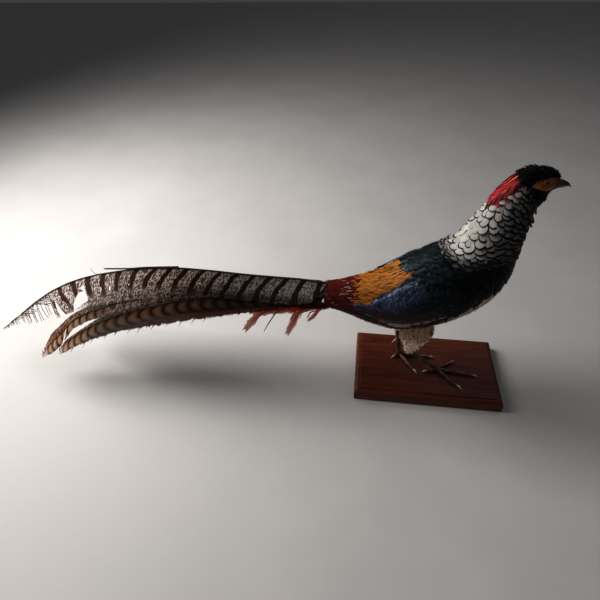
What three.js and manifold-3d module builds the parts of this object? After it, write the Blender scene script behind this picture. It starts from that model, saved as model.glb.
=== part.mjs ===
// A mounted Lady Amherst's pheasant cock, walking, on a moulded mahogany board.
// Millimetres, +Z up. The origin is the centre of the board's underside and +X runs along
// the board. The bird stands in a group of its own, turned a little on the board.
// In the bird's group +X is forwards, +Y is the bird's left and Z is the height.

import * as THREE from 'three';
import { mergeVertices } from 'three/addons/utils/BufferGeometryUtils.js';
import Module from 'manifold-3d';

const wasm = await Module();
wasm.setup();

// The clearance between neighbouring solids.
const GAP = 0.3;

// The board: overall size, and its edge moulding from the bottom up.
const BOARD_LENGTH = 273;
const BOARD_WIDTH = 162;
const BOARD_HEIGHT = 25;
const BOARD_EDGE = 13.5;
const OVOLO_TOP = 22.5;
const OVOLO_WIDTH = 8;
const FILLET_WIDTH = 2;

// Where the bird stands on the board, and how far it is turned.
const STAND_X = -18;
const STAND_Y = 2;
const HEADING = 2.5;

// Sections of the body from the tail coverts to the bill. s is forward, z is the height of
// the section's centre, tall and wide are its half sizes.
const BODY = [
  { at: 'covert end', s: -184, z: 196, tall: 22.5, wide: 25 },
  { at: 'coverts', s: -164, z: 195, tall: 26, wide: 28 },
  { at: 'rump end', s: -138, z: 194.5, tall: 34, wide: 34 },
  { at: 'rump', s: -97, z: 192, tall: 50, wide: 46 },
  { at: 'loin', s: -52, z: 197, tall: 65, wide: 55 },
  { at: 'back', s: -5, z: 219, tall: 72, wide: 59 },
  { at: 'breast', s: 38, z: 248, tall: 70.5, wide: 58 },
  { at: 'shoulders', s: 61.5, z: 275, tall: 60, wide: 53 },
  { at: 'neck base', s: 72.5, z: 305, tall: 48, wide: 46.5 },
  { at: 'lower neck', s: 79.5, z: 337, tall: 39.5, wide: 39.5 },
  { at: 'upper neck', s: 86.5, z: 366, tall: 33, wide: 33 },
  { at: 'nape', s: 95, z: 387.5, tall: 28, wide: 26 },
  { at: 'cheeks', s: 105, z: 405, tall: 26.5, wide: 20.5 },
  { at: 'crown', s: 116, z: 416, tall: 26, wide: 17 },
  { at: 'brow', s: 127, z: 419.5, tall: 19.5, wide: 13.5 },
  { at: 'forehead', s: 135, z: 418, tall: 14, wide: 10 },
  { at: 'bill base', s: 140.5, z: 416.5, tall: 9, wide: 7.5 },
];
const BODY_SIDES = 24;
const TILT_SPAN = 0.8;
const RINGS_BETWEEN = 2;

// The places along the body where one part ends and the next begins.
const COVERTS_TO_RUMP = 2;
const RUMP_TO_TRUNK = 3.5;
const TRUNK_TO_NECK = 8;
const NECK_TO_HEAD = 11;

// Feather tracts that stand proud of the body. s counts the body's sections, middle is the
// angle of the tract's centre line from the back, reach is how far it goes to each side in
// degrees, and thick is how high it stands.
const CAPE = [
  { s: 12, middle: 0, reach: 66, thick: 1.8 },
  { s: 11.5, middle: 0, reach: 112, thick: 2.4 },
  { s: 10.5, middle: 0, reach: 150, thick: 3 },
  { s: 9, middle: 0, reach: 152, thick: 3.4 },
  { s: 8.5, middle: 0, reach: 136, thick: 3.6 },
  { s: 8, middle: 0, reach: 98, thick: 3.6 },
  { s: 7.5, middle: 0, reach: 66, thick: 3.6 },
  { s: 7, middle: 0, reach: 50, thick: 3.2 },
  { s: 6.5, middle: 0, reach: 26, thick: 2.4 },
];
const CREST = [
  { s: 13, middle: 0, reach: 34, thick: 3 },
  { s: 12.5, middle: 0, reach: 46, thick: 5.4 },
  { s: 12, middle: 0, reach: 46, thick: 7.2 },
  { s: 11, middle: 0, reach: 31, thick: 8.4 },
  { s: 10.5, middle: 0, reach: 22, thick: 8 },
  { s: 10, middle: 0, reach: 9, thick: 6 },
];
const WING = [
  { s: 6.5, middle: 89, reach: 12, thick: 2.2 },
  { s: 6, middle: 86, reach: 28, thick: 4.2 },
  { s: 5, middle: 79, reach: 38, thick: 5.4 },
  { s: 4, middle: 76, reach: 33, thick: 4.8 },
  { s: 3, middle: 78, reach: 19, thick: 3.6 },
  { s: 2.5, middle: 79, reach: 10, thick: 2.8 },
  { s: 2, middle: 80, reach: 3.5, thick: 2 },
];
const TRACT_DEGREES = 20;
const TRACT_EDGE = 1.7;

// The bill, from the forehead to the tip.
const BILL_LENGTH = 20.5;
const BILL_ROOT = 2;
const BILL_DEPTH = 15;
const BILL_WIDTH = 13;
const BILL_DROOP = 2.2;
const BILL_HOOK = 11;
const LOWER_SHARE = 0.8;
const MOUTH_BELOW = 1.2;

// The eyes.
const EYE_DIAMETER = 10.5;
const EYE_FORWARD = 119.5;
const EYE_HEIGHT = 424;
const EYE_OUT = 17;

// The tail is a roof of long feathers. RIDGE gives its height along the midline and its
// flanks fall at ROOF_SLOPE. Each feather lies in its own layer under the one above.
const ROOF_SLOPE = [
  { s: -184, degrees: 32 },
  { s: -250, degrees: 45 },
  { s: -340, degrees: 55 },
  { s: -850, degrees: 55 },
];
const TAIL_ROOT = -184;
const RIDGE = [
  { s: -184, z: 221 },
  { s: -225, z: 227 },
  { s: -314, z: 232.5 },
  { s: -402, z: 240 },
  { s: -460, z: 241.5 },
  { s: -530, z: 234 },
  { s: -590, z: 221.5 },
  { s: -632, z: 208 },
  { s: -678, z: 187 },
  { s: -731, z: 154 },
  { s: -792, z: 108 },
  { s: -850, z: 64 },
];
const FEATHER_THICK = 0.9;
const LAYER_STEP = 2.1;

// Each feather's band on the roof: low and high are distances down the flank from the
// ridge, at the places s along the bird.
const TAIL_FEATHERS = [
  {
    name: 'tail_central',
    layer: 0,
    color: 0xb9b4ab,
    band: [
      { s: -184, low: 1.7, high: 27 },
      { s: -314, low: 1.7, high: 40 },
      { s: -402, low: 1.7, high: 47 },
      { s: -500, low: 1.7, high: 55 },
      { s: -600, low: 1.7, high: 57 },
      { s: -680, low: 1.7, high: 58 },
      { s: -740, low: 1.7, high: 45 },
      { s: -800, low: 1.7, high: 23 },
      { s: -846, low: 1.7, high: 5 },
    ],
  },
  {
    name: 'tail_second',
    layer: 1,
    color: 0x9a7350,
    band: [
      { s: -184, low: 4, high: 30 },
      { s: -314, low: 17, high: 52 },
      { s: -402, low: 25, high: 66 },
      { s: -500, low: 37, high: 76 },
      { s: -600, low: 48, high: 84 },
      { s: -670, low: 66, high: 99 },
      { s: -705, low: 80, high: 105 },
      { s: -733, low: 104, high: 110 },
    ],
  },
  {
    name: 'tail_third',
    layer: 2,
    color: 0x8a5a38,
    band: [
      { s: -184, low: 14, high: 38 },
      { s: -314, low: 33, high: 69 },
      { s: -402, low: 48, high: 90 },
      { s: -480, low: 64, high: 105 },
      { s: -571, low: 78, high: 114 },
      { s: -634, low: 100, high: 122 },
      { s: -672, low: 112, high: 127 },
      { s: -688, low: 122, high: 128 },
    ],
  },
  {
    name: 'tail_fourth',
    layer: 3,
    color: 0x75492d,
    band: [
      { s: -184, low: 12, high: 32 },
      { s: -290, low: 26, high: 58 },
      { s: -380, low: 34, high: 72 },
      { s: -460, low: 50, high: 82 },
      { s: -520, low: 72, high: 84 },
      { s: -540, low: 80, high: 85 },
    ],
  },
];
const FEATHER_STEPS = 16;

// The narrow orange plumes that hang from the tail coverts, as points of their midribs on
// the right. The left ones mirror them.
const PLUMES = [
  {
    name: 'plume_long',
    width: 11,
    midrib: [[-186, 8, 176], [-250, 18, 172], [-288, 26, 170], [-308, 29, 153], [-327, 31, 128]],
  },
  {
    name: 'plume_middle',
    width: 9,
    midrib: [[-186.5, 12, 180], [-209, 18, 178], [-226, 22, 169], [-239, 25, 144], [-250, 28, 119]],
  },
  {
    name: 'plume_short',
    width: 7,
    midrib: [[-187, 15, 184], [-190, 22, 179], [-200, 24, 165], [-211, 26, 152]],
  },
];
const PLUME_THICK = 0.9;

// The legs, as points in the bird's group: the feathered thigh, the bare shank and the toes.
const FOOT_LEVEL = BOARD_HEIGHT + GAP;
const TOE_RADIUS = 3.4;
const CLAW_LENGTH = 12;
const LEGS = [
  {
    side: 'right',
    thigh: [
      { s: -18, out: -27, z: 166, long: 26, wide: 21 },
      { s: -18.5, out: -26, z: 144, long: 28.5, wide: 22 },
      { s: -18.5, out: -23.5, z: 124, long: 26, wide: 20 },
      { s: -19, out: -21.5, z: 106, long: 18, wide: 15 },
      { s: -20, out: -20, z: 92, long: 11, wide: 10 },
      { s: -22.5, out: -19, z: 82, long: 7.5, wide: 7 },
    ],
    hock: [-23.9, -19, 79],
    foot: [36.2, -18.6],
    toes: {
      middle: [113.8, -30],
      inner: [76.4, 7.7],
      outer: [78.3, -63.5],
      hind: [8.3, -25.2],
    },
    spur: [-12, 10, -8],
  },
  {
    side: 'left',
    thigh: [
      { s: -32, out: 25, z: 174, long: 26, wide: 20 },
      { s: -35, out: 23, z: 157, long: 27, wide: 20 },
      { s: -39, out: 19, z: 139, long: 21, wide: 16 },
      { s: -43, out: 15, z: 123, long: 13, wide: 11 },
      { s: -45.5, out: 12.5, z: 111, long: 7.5, wide: 7 },
    ],
    hock: [-45.5, 12, 107],
    foot: [-33.2, 18.5],
    toes: {
      middle: [38, 13],
      inner: [-1.4, -31],
      outer: [20, 52],
      hind: [-48.7, 7.1],
    },
    spur: [-12, -10, -8],
  },
];

const FINISH = {
  board: { color: 0x5a2016, roughness: 0.35 },
  green: { color: 0x10231f, roughness: 0.6 },
  gold: { color: 0xc9861f, roughness: 0.75 },
  red: { color: 0x8f1f17, roughness: 0.75 },
  white: { color: 0xd9dbd8, roughness: 0.75 },
  blue: { color: 0x1c2a52, roughness: 0.55 },
  face: { color: 0x23303a, roughness: 0.7 },
  horn: { color: 0x6d6250, roughness: 0.45 },
  claw: { color: 0xb9a184, roughness: 0.4 },
  shank: { color: 0x3c3029, roughness: 0.6 },
  thigh: { color: 0xd3c7b5, roughness: 0.85 },
  eye: { color: 0xc0561f, roughness: 0.1 },
  plume: { color: 0xc4452a, roughness: 0.75 },
};

// Blends the numbers of four rows smoothly: the curve passes through b and c.
function blendFour(a, b, c, d, t) {
  return 0.5 * (2 * b + (c - a) * t + (2 * a - 5 * b + 4 * c - d) * t * t
    + (3 * b - a - 3 * c + d) * t * t * t);
}

// Reads a list of rows at place t, counted in rows, with every number blended.
function rowAt(rows, t) {
  const i = Math.min(Math.max(Math.floor(t), 0), rows.length - 2);
  const b = rows[i];
  const c = rows[i + 1];
  const a = rows[i - 1];
  const d = rows[i + 2];
  const result = {};
  for (const key of Object.keys(b)) {
    if (typeof b[key] === 'number') {
      const before = a ? a[key] : 2 * b[key] - c[key];
      const after = d ? d[key] : 2 * c[key] - b[key];
      result[key] = blendFour(before, b[key], c[key], after, t - i);
    }
  }
  return result;
}

// Reads a list of rows at the place s along the bird, with straight lines between rows.
function rowAlong(rows, s) {
  let i = 0;
  while (i < rows.length - 2 && s < rows[i + 1].s) {
    i += 1;
  }
  const share = (s - rows[i].s) / (rows[i + 1].s - rows[i].s);
  const result = {};
  for (const key of Object.keys(rows[i])) {
    result[key] = rows[i][key] + (rows[i + 1][key] - rows[i][key]) * share;
  }
  return result;
}

// Six times the volume inside a triangle list. It is negative when the faces point inwards.
function signedVolume(points, faces) {
  let sum = 0;
  const cross = new THREE.Vector3();
  for (let i = 0; i < faces.length; i += 3) {
    cross.crossVectors(points[faces[i + 1]], points[faces[i + 2]]);
    sum += points[faces[i]].dot(cross);
  }
  return sum;
}

function geometryOf(points, faces) {
  const geometry = new THREE.BufferGeometry().setFromPoints(points);
  geometry.setIndex(signedVolume(points, faces) < 0 ? faces.toReversed() : faces);
  return geometry;
}

// A closed skin over rings of points. Every ring has the same number of points, and each
// end is closed by a fan round its middle.
function loft(rings) {
  const count = rings[0].length;
  const points = rings.flat();
  const faces = [];
  for (let i = 0; i + 1 < rings.length; i += 1) {
    for (let j = 0; j < count; j += 1) {
      const a = i * count + j;
      const b = i * count + ((j + 1) % count);
      faces.push(a, b, b + count);
      faces.push(a, b + count, a + count);
    }
  }
  for (const end of [0, rings.length - 1]) {
    const middle = new THREE.Vector3();
    rings[end].forEach((point) => middle.addScaledVector(point, 1 / count));
    points.push(middle);
    for (let j = 0; j < count; j += 1) {
      const a = end * count + j;
      const b = end * count + ((j + 1) % count);
      faces.push(...(end === 0 ? [b, a] : [a, b]), points.length - 1);
    }
  }
  return geometryOf(points, faces);
}

// An oval ring of points round a centre, in the plane of two half axes.
function ovalRing(centre, up, out, sides) {
  return Array.from({ length: sides }, (_, k) => {
    const angle = (2 * Math.PI * k) / sides;
    return centre.clone()
      .addScaledVector(up, Math.cos(angle))
      .addScaledVector(out, Math.sin(angle));
  });
}

function toSolid(geometry) {
  const plain = geometry.clone();
  plain.deleteAttribute('normal');
  plain.deleteAttribute('uv');
  const merged = mergeVertices(plain, 1e-4);
  return new wasm.Manifold(new wasm.Mesh({
    numProp: 3,
    vertProperties: new Float32Array(merged.attributes.position.array),
    triVerts: new Uint32Array(merged.index.array),
  }));
}

function toGeometry(solid) {
  const mesh = solid.getMesh();
  const geometry = new THREE.BufferGeometry();
  geometry.setAttribute('position', new THREE.BufferAttribute(mesh.vertProperties, 3));
  geometry.setIndex(new THREE.BufferAttribute(mesh.triVerts, 1));
  return geometry;
}

function cutAway(geometry, ...cutters) {
  return toGeometry(cutters.reduce((rest, cutter) => rest.subtract(toSolid(cutter)), toSolid(geometry)));
}

function namedMesh(name, geometry, finish) {
  const material = new THREE.MeshStandardMaterial({
    color: finish.color,
    roughness: finish.roughness,
    metalness: 0,
  });
  const mesh = new THREE.Mesh(geometry, material);
  mesh.name = name;
  return mesh;
}

// A point on the body's surface: t counts the sections, the angle is measured from the
// back, and grow lifts the point off the surface.
function bodyPoint(t, degrees, grow) {
  const row = rowAt(BODY, t);
  const before = rowAt(BODY, t - TILT_SPAN);
  const after = rowAt(BODY, t + TILT_SPAN);
  const along = new THREE.Vector3(after.s - before.s, 0, after.z - before.z).normalize();
  const out = new THREE.Vector3(0, 1, 0);
  const up = new THREE.Vector3().crossVectors(along, out);
  const angle = THREE.MathUtils.degToRad(degrees);
  return new THREE.Vector3(row.s, 0, row.z)
    .addScaledVector(up, (row.tall + grow) * Math.cos(angle))
    .addScaledVector(out, (row.wide + grow) * Math.sin(angle));
}

function bodyRing(t, grow) {
  return Array.from({ length: BODY_SIDES }, (_, k) => bodyPoint(t, (360 * k) / BODY_SIDES, grow));
}

// A length of the body between two places, shortened by half a clearance at a parting.
function bodyLength(from, to, grow = 0) {
  const shorten = (t, way) => {
    const here = rowAt(BODY, t);
    const next = rowAt(BODY, t + 0.01 * way);
    return t + (way * 0.01 * GAP * 0.5) / Math.hypot(next.s - here.s, next.z - here.z);
  };
  const last = BODY.length - 1;
  const start = from > 0 ? shorten(from, 1) : from;
  const end = to < last ? shorten(to, -1) : to;
  const stops = [start];
  for (let k = 1; k < last * RINGS_BETWEEN; k += 1) {
    const stop = k / RINGS_BETWEEN;
    if (stop > start + 0.15 && stop < end - 0.15) {
      stops.push(stop);
    }
  }
  stops.push(end);
  return loft(stops.map((t) => bodyRing(t, grow)));
}

function wholeBody(grow) {
  return bodyLength(0, BODY.length - 1, grow);
}

function eyeBall(side, grow) {
  const ball = new THREE.SphereGeometry(EYE_DIAMETER / 2 + grow, 12, 8);
  ball.translate(EYE_FORWARD, side * (EYE_OUT - EYE_DIAMETER / 2), EYE_HEIGHT);
  return ball;
}

// A feather tract that lies on the body: a band of curved sections, thin along its edges.
// It reaches a little into the body, which is then cut away from it with a clearance.
function tract(rows, side, grow = 0) {
  const widest = Math.max(...rows.map((row) => row.reach));
  const steps = Math.max(4, Math.round((2 * widest) / TRACT_DEGREES));
  const rings = [];
  for (let t = rows[0].s; t >= rows.at(-1).s; t -= 1 / RINGS_BETWEEN) {
    const { middle, reach, thick } = rowAlong(rows, t);
    const at = (share, lift) => bodyPoint(t, side * (middle + reach * share), lift);
    const outer = [];
    const inner = [];
    for (let j = 0; j <= steps; j += 1) {
      const share = (2 * j) / steps - 1;
      const round = Math.sqrt(Math.max(1 - share ** 4, 0));
      outer.push(at(share, Math.max(thick * round, TRACT_EDGE) + grow));
      inner.unshift(at(share, -1.5));
    }
    rings.push([...outer, ...inner]);
  }
  return loft(rings);
}

// The upper or lower half of the bill: half ovals along a drooping line, flat at the mouth.
// The upper half is longer and hooks down past the lower one.
function billGeometry(upper) {
  const start = BODY.at(-1);
  const steps = 6;
  const reach = upper ? BILL_LENGTH : BILL_LENGTH * LOWER_SHARE;
  const rings = [];
  for (let k = 0; k <= steps; k += 1) {
    const u = k / steps;
    const distance = -BILL_ROOT + (reach + BILL_ROOT) * u;
    const mouth = start.z - MOUTH_BELOW - BILL_DROOP * (distance / BILL_LENGTH) ** 2;
    const hook = upper ? BILL_HOOK * Math.max(distance / BILL_LENGTH - LOWER_SHARE, 0) : 0;
    const taper = 1 - 0.93 * u ** 1.7;
    const depth = upper ? BILL_DEPTH * 0.54 * taper + 0.4 : -BILL_DEPTH * 0.34 * taper - 0.3;
    const half = BILL_WIDTH * 0.5 * taper * (upper ? 1 : 0.86);
    const level = mouth - hook + (upper ? GAP / 2 : -GAP / 2);
    rings.push(Array.from({ length: 9 }, (_, j) => {
      const angle = (Math.PI * j) / 8;
      return new THREE.Vector3(
        start.s + distance,
        half * Math.cos(angle),
        level + depth * Math.sin(angle),
      );
    }));
  }
  return loft(rings);
}

// A point of the tail's roof: s along the bird, w down the flank, depth under its surface.
function roofPoint(side, s, w, depth) {
  const slope = THREE.MathUtils.degToRad(rowAlong(ROOF_SLOPE, s).degrees);
  const ridge = ridgeCurve(s);
  return new THREE.Vector3(
    s,
    side * (w * Math.cos(slope) - depth * Math.sin(slope)),
    ridge - w * Math.sin(slope) - depth * Math.cos(slope),
  );
}

function ridgeCurve(s) {
  let i = 0;
  while (i < RIDGE.length - 2 && s < RIDGE[i + 1].s) {
    i += 1;
  }
  const share = (s - RIDGE[i].s) / (RIDGE[i + 1].s - RIDGE[i].s);
  return rowAt(RIDGE, i + share).z;
}

function tailFeather(feather, side) {
  const first = TAIL_ROOT - GAP;
  const last = feather.band.at(-1).s;
  const upper = feather.layer * LAYER_STEP;
  const rings = [];
  for (let k = 0; k <= FEATHER_STEPS; k += 1) {
    const u = k / FEATHER_STEPS;
    const s = first + (last - first) * (u + 0.12 * Math.sin(Math.PI * u));
    const { low, high } = rowAlong(feather.band, Math.max(s, last));
    const middle = (low + high) / 2;
    const cup = (high - low) * 0.02;
    rings.push([
      roofPoint(side, s, low, upper),
      roofPoint(side, s, middle, upper - cup),
      roofPoint(side, s, high, upper),
      roofPoint(side, s, high, upper + FEATHER_THICK),
      roofPoint(side, s, middle, upper + FEATHER_THICK - cup),
      roofPoint(side, s, low, upper + FEATHER_THICK),
    ]);
  }
  return loft(rings);
}

// A flat plume along its midrib: pointed, and as thin as a feather.
function plumeGeometry(plume, side) {
  const line = new THREE.CatmullRomCurve3(
    plume.midrib.map(([s, out, z]) => new THREE.Vector3(s, side * out, z)),
  );
  const steps = 7;
  const rings = [];
  for (let k = 0; k <= steps; k += 1) {
    const u = k / steps;
    const centre = line.getPoint(u);
    const along = line.getTangent(u);
    const face = new THREE.Vector3(0, side * 0.85, 0.5);
    const across = new THREE.Vector3().crossVectors(along, face).normalize();
    const normal = new THREE.Vector3().crossVectors(across, along).normalize();
    const half = plume.width * 0.5 * (0.35 + 0.65 * Math.sin(Math.PI * (0.15 + 0.8 * u)));
    rings.push(ovalRing(
      centre,
      normal.multiplyScalar(PLUME_THICK * 0.7),
      across.multiplyScalar(half),
      6,
    ));
  }
  return loft(rings);
}

// A round limb through points, with a radius at each. Points below the floor of the foot
// are raised to it, so that the sole is flat.
function limb(points, radii, sides, steps, floor = -Infinity) {
  const line = new THREE.CatmullRomCurve3(points.map((point) => new THREE.Vector3(...point)));
  const rings = [];
  let across = null;
  for (let k = 0; k <= steps; k += 1) {
    const u = k / steps;
    const along = line.getTangent(u);
    if (across === null) {
      across = Math.abs(along.z) > 0.7 ? new THREE.Vector3(0, 1, 0) : new THREE.Vector3(0, 0, 1);
    }
    across.addScaledVector(along, -across.dot(along)).normalize();
    const other = new THREE.Vector3().crossVectors(along, across);
    const place = u * (radii.length - 1);
    const i = Math.min(Math.floor(place), radii.length - 2);
    const radius = radii[i] + (radii[i + 1] - radii[i]) * (place - i);
    const ring = ovalRing(
      line.getPoint(u),
      across.clone().multiplyScalar(radius),
      other.multiplyScalar(radius),
      sides,
    );
    ring.forEach((point) => {
      point.z = Math.max(point.z, floor);
    });
    rings.push(ring);
  }
  return loft(rings);
}

// One toe on the board and its claw, from the middle of the foot to the claw's tip.
function toeParts(foot, tip, hind) {
  const start = new THREE.Vector3(foot[0], foot[1], FOOT_LEVEL + TOE_RADIUS);
  const end = new THREE.Vector3(tip[0], tip[1], FOOT_LEVEL + 0.9);
  const way = end.clone().sub(start).setZ(0);
  const length = way.length();
  way.normalize();
  const claw = hind ? CLAW_LENGTH * 0.9 : CLAW_LENGTH;
  const at = (distance, height) => {
    const point = start.clone().addScaledVector(way, distance);
    return [point.x, point.y, FOOT_LEVEL + height];
  };
  const toeEnd = length - claw;
  const arch = hind ? 8 : 4.6;
  const toe = limb(
    [
      at(0, 5),
      at(toeEnd * 0.3, arch),
      at(toeEnd * 0.65, 3.4),
      at(toeEnd, 3),
    ],
    [TOE_RADIUS + 0.6, TOE_RADIUS, TOE_RADIUS - 0.5, TOE_RADIUS - 1],
    8,
    6,
    FOOT_LEVEL,
  );
  const clawPoints = [
    at(toeEnd + 2.5 * GAP, 3.1),
    at(toeEnd + claw * 0.5, 4),
    at(length, 0.9),
  ];
  return { toe, claw: limb(clawPoints, [1.8, 1.35, 0.4], 6, 4, FOOT_LEVEL) };
}

// The feathered thigh: level ovals from the hip down to the hock.
function thighGeometry(rows, grow) {
  return loft(rows.map(({ s, out, z, long, wide }, i) => ovalRing(
    new THREE.Vector3(s, out, i === rows.length - 1 ? z - grow : z),
    new THREE.Vector3(long + grow, 0, 0),
    new THREE.Vector3(0, wide + grow, 0),
    12,
  )));
}

function legMeshes(leg) {
  const { side, thigh, hock, foot, toes, spur } = leg;
  const ankle = [foot[0], foot[1], FOOT_LEVEL + 6];
  const meshes = [];
  const thighCut = cutAway(thighGeometry(thigh, 0), wholeBody(GAP));
  meshes.push(namedMesh(`thigh_${side}`, thighCut, FINISH.thigh));

  const part = (share) => hock.map((value, i) => value + (ankle[i] - value) * share);
  const shankOf = (grow) => limb(
    [part(-0.02), part(0.3), part(0.7), part(1)],
    [5.6 + grow, 3.9 + grow, 3.7 + grow, 4.6 + grow],
    8,
    6,
  );
  let footSolid = toSolid(shankOf(0)).subtract(toSolid(thighGeometry(thigh, GAP)));
  for (const [name, tip] of Object.entries(toes)) {
    const { toe, claw } = toeParts(foot, tip, name === 'hind');
    footSolid = footSolid.add(toSolid(toe));
    meshes.push(namedMesh(`claw_${name}_${side}`, claw, FINISH.claw));
  }
  meshes.push(namedMesh(`foot_${side}`, toGeometry(footSolid), FINISH.shank));

  const root = part(0.38);
  const spurPoints = [0.1, 0.55, 1].map((share) => [
    root[0] + spur[0] * share,
    root[1] + spur[1] * share,
    root[2] + spur[2] * share + 3 * share * share,
  ]);
  const spurSolid = limb(spurPoints, [2.6, 1.6, 0.5], 6, 4);
  meshes.push(namedMesh(`spur_${side}`, cutAway(spurSolid, shankOf(GAP)), FINISH.claw));
  return meshes;
}

// The board: a stack of rectangles from the underside up through the edge moulding.
function boardGeometry() {
  const insets = [[0, 0], [BOARD_EDGE, 0]];
  const steps = 5;
  for (let k = 1; k <= steps; k += 1) {
    const angle = (Math.PI / 2) * (k / steps);
    insets.push([
      BOARD_EDGE + (OVOLO_TOP - BOARD_EDGE) * Math.sin(angle),
      OVOLO_WIDTH * (1 - Math.cos(angle)),
    ]);
  }
  insets.push([OVOLO_TOP, OVOLO_WIDTH + FILLET_WIDTH]);
  insets.push([BOARD_HEIGHT, OVOLO_WIDTH + FILLET_WIDTH]);
  return loft(insets.map(([height, inset]) => {
    const x = BOARD_LENGTH / 2 - inset;
    const y = BOARD_WIDTH / 2 - inset;
    return [[x, y], [-x, y], [-x, -y], [x, -y]].map(([px, py]) => new THREE.Vector3(px, py, height));
  }));
}

function buildBird() {
  const bird = new THREE.Group();
  bird.position.set(STAND_X, STAND_Y, 0);
  bird.rotation.z = THREE.MathUtils.degToRad(HEADING);

  const last = BODY.length - 1;
  bird.add(namedMesh('tail_coverts', bodyLength(0, COVERTS_TO_RUMP), FINISH.red));
  bird.add(namedMesh('rump', bodyLength(COVERTS_TO_RUMP, RUMP_TO_TRUNK), FINISH.gold));
  bird.add(namedMesh('trunk', bodyLength(RUMP_TO_TRUNK, TRUNK_TO_NECK), FINISH.green));
  bird.add(namedMesh('neck', bodyLength(TRUNK_TO_NECK, NECK_TO_HEAD), FINISH.white));
  const head = cutAway(bodyLength(NECK_TO_HEAD, last), eyeBall(1, GAP), eyeBall(-1, GAP));
  bird.add(namedMesh('head', head, FINISH.face));

  const cape = cutAway(tract(CAPE, 1), wholeBody(GAP));
  bird.add(namedMesh('cape', cape, FINISH.white));
  const crest = cutAway(tract(CREST, 1), wholeBody(GAP), tract(CAPE, 1, GAP));
  bird.add(namedMesh('crest', crest, FINISH.red));
  for (const [name, upper] of [['bill_upper', true], ['bill_lower', false]]) {
    bird.add(namedMesh(name, cutAway(billGeometry(upper), wholeBody(GAP)), FINISH.horn));
  }

  for (const [name, side] of [['right', -1], ['left', 1]]) {
    bird.add(namedMesh(`eye_${name}`, eyeBall(side, 0), FINISH.eye));
    const wing = cutAway(tract(WING, side), wholeBody(GAP));
    bird.add(namedMesh(`wing_${name}`, wing, FINISH.blue));
    for (const feather of TAIL_FEATHERS) {
      const finish = { color: feather.color, roughness: 0.7 };
      bird.add(namedMesh(`${feather.name}_${name}`, tailFeather(feather, side), finish));
    }
    for (const plume of PLUMES) {
      bird.add(namedMesh(`${plume.name}_${name}`, plumeGeometry(plume, side), FINISH.plume));
    }
  }
  LEGS.forEach((leg) => bird.add(...legMeshes(leg)));
  return bird;
}

const specimen = new THREE.Group();
specimen.add(namedMesh('mount_base', boardGeometry(), FINISH.board));
specimen.add(buildBird());

export default specimen;
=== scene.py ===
"""The looks of a mounted Lady Amherst's pheasant cock, walking, on a moulded mahogany board.

Sizes are in millimetres in the bird's own frame: s is forwards, l is to the bird's left and
z is the height. to_row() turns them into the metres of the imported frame.
"""

import math

import bmesh
import bpy
import numpy as np
from bpy.props import FloatProperty, FloatVectorProperty, IntProperty, PointerProperty
from bpy.types import Operator, Panel, PropertyGroup, Scene
from mathutils import Matrix, Vector, kdtree


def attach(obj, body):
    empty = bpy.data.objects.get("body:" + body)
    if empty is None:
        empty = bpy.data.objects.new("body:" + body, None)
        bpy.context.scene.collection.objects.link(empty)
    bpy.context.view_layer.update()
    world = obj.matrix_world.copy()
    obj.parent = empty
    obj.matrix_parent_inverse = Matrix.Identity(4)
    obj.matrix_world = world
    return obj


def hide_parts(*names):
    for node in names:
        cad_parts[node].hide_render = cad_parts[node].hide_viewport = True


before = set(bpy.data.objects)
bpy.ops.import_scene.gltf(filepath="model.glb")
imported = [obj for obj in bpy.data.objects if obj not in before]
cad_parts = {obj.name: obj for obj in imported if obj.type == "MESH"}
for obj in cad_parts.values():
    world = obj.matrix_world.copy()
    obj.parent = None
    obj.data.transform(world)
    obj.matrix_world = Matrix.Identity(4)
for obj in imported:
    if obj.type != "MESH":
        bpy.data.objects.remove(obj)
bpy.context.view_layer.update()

bl_info = {
    "name": "Mounted pheasant",
    "version": (1, 0, 0),
    "blender": (4, 5, 0),
    "location": "View3D > Sidebar > Pheasant",
    "description": "Dresses the mounted pheasant: skin, feathers, tail, legs, head and board",
    "category": "Object",
}

MM = 0.001
SIDES = (("right", -1), ("left", 1))

# Where the bird stands on the board, and how far it is turned.
STAND = (-18.0, 2.0)
HEADING = math.radians(2.5)

# Sections of the body from the tail coverts to the bill: s, z, half height, half width.
BODY = np.array([
    (-184, 196, 22.5, 25), (-164, 195, 26, 28), (-138, 194.5, 34, 34), (-97, 192, 50, 46),
    (-52, 197, 65, 55), (-5, 219, 72, 59), (38, 248, 70.5, 58), (61.5, 275, 60, 53), (72.5, 305, 48, 46.5),
    (79.5, 337, 39.5, 39.5), (86.5, 366, 33, 33), (95, 387.5, 28, 26), (105, 405, 26.5, 20.5),
    (116, 416, 26, 17), (127, 419.5, 19.5, 13.5), (135, 418, 14, 10), (140.5, 416.5, 9, 7.5),
], float)
TILT_SPAN = 0.8
BODY_END = len(BODY) - 1

# Feather tracts that stand proud of the body: place, middle, reach, height.
CAPE_TRACT = np.array([
    (6.5, 0, 26, 2.4), (7, 0, 50, 3.2), (7.5, 0, 66, 3.6), (8, 0, 98, 3.6), (8.5, 0, 136, 3.6),
    (9, 0, 152, 3.4), (10.5, 0, 150, 3), (11.5, 0, 112, 2.4), (12, 0, 66, 1.8),
], float)
CREST_TRACT = np.array([
    (10, 0, 9, 6), (10.5, 0, 22, 8), (11, 0, 31, 8.4), (12, 0, 46, 7.2), (12.5, 0, 46, 5.4), (13, 0, 34, 3),
], float)
WING_TRACT = np.array([
    (2, 80, 3.5, 2), (2.5, 79, 10, 2.8), (3, 78, 19, 3.6), (4, 76, 33, 4.8), (5, 79, 38, 5.4),
    (6, 86, 28, 4.2), (6.5, 89, 12, 2.2),
], float)
TRACT_FADE = 0.35
LEFT_WING_HIGHER = 16.0

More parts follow.
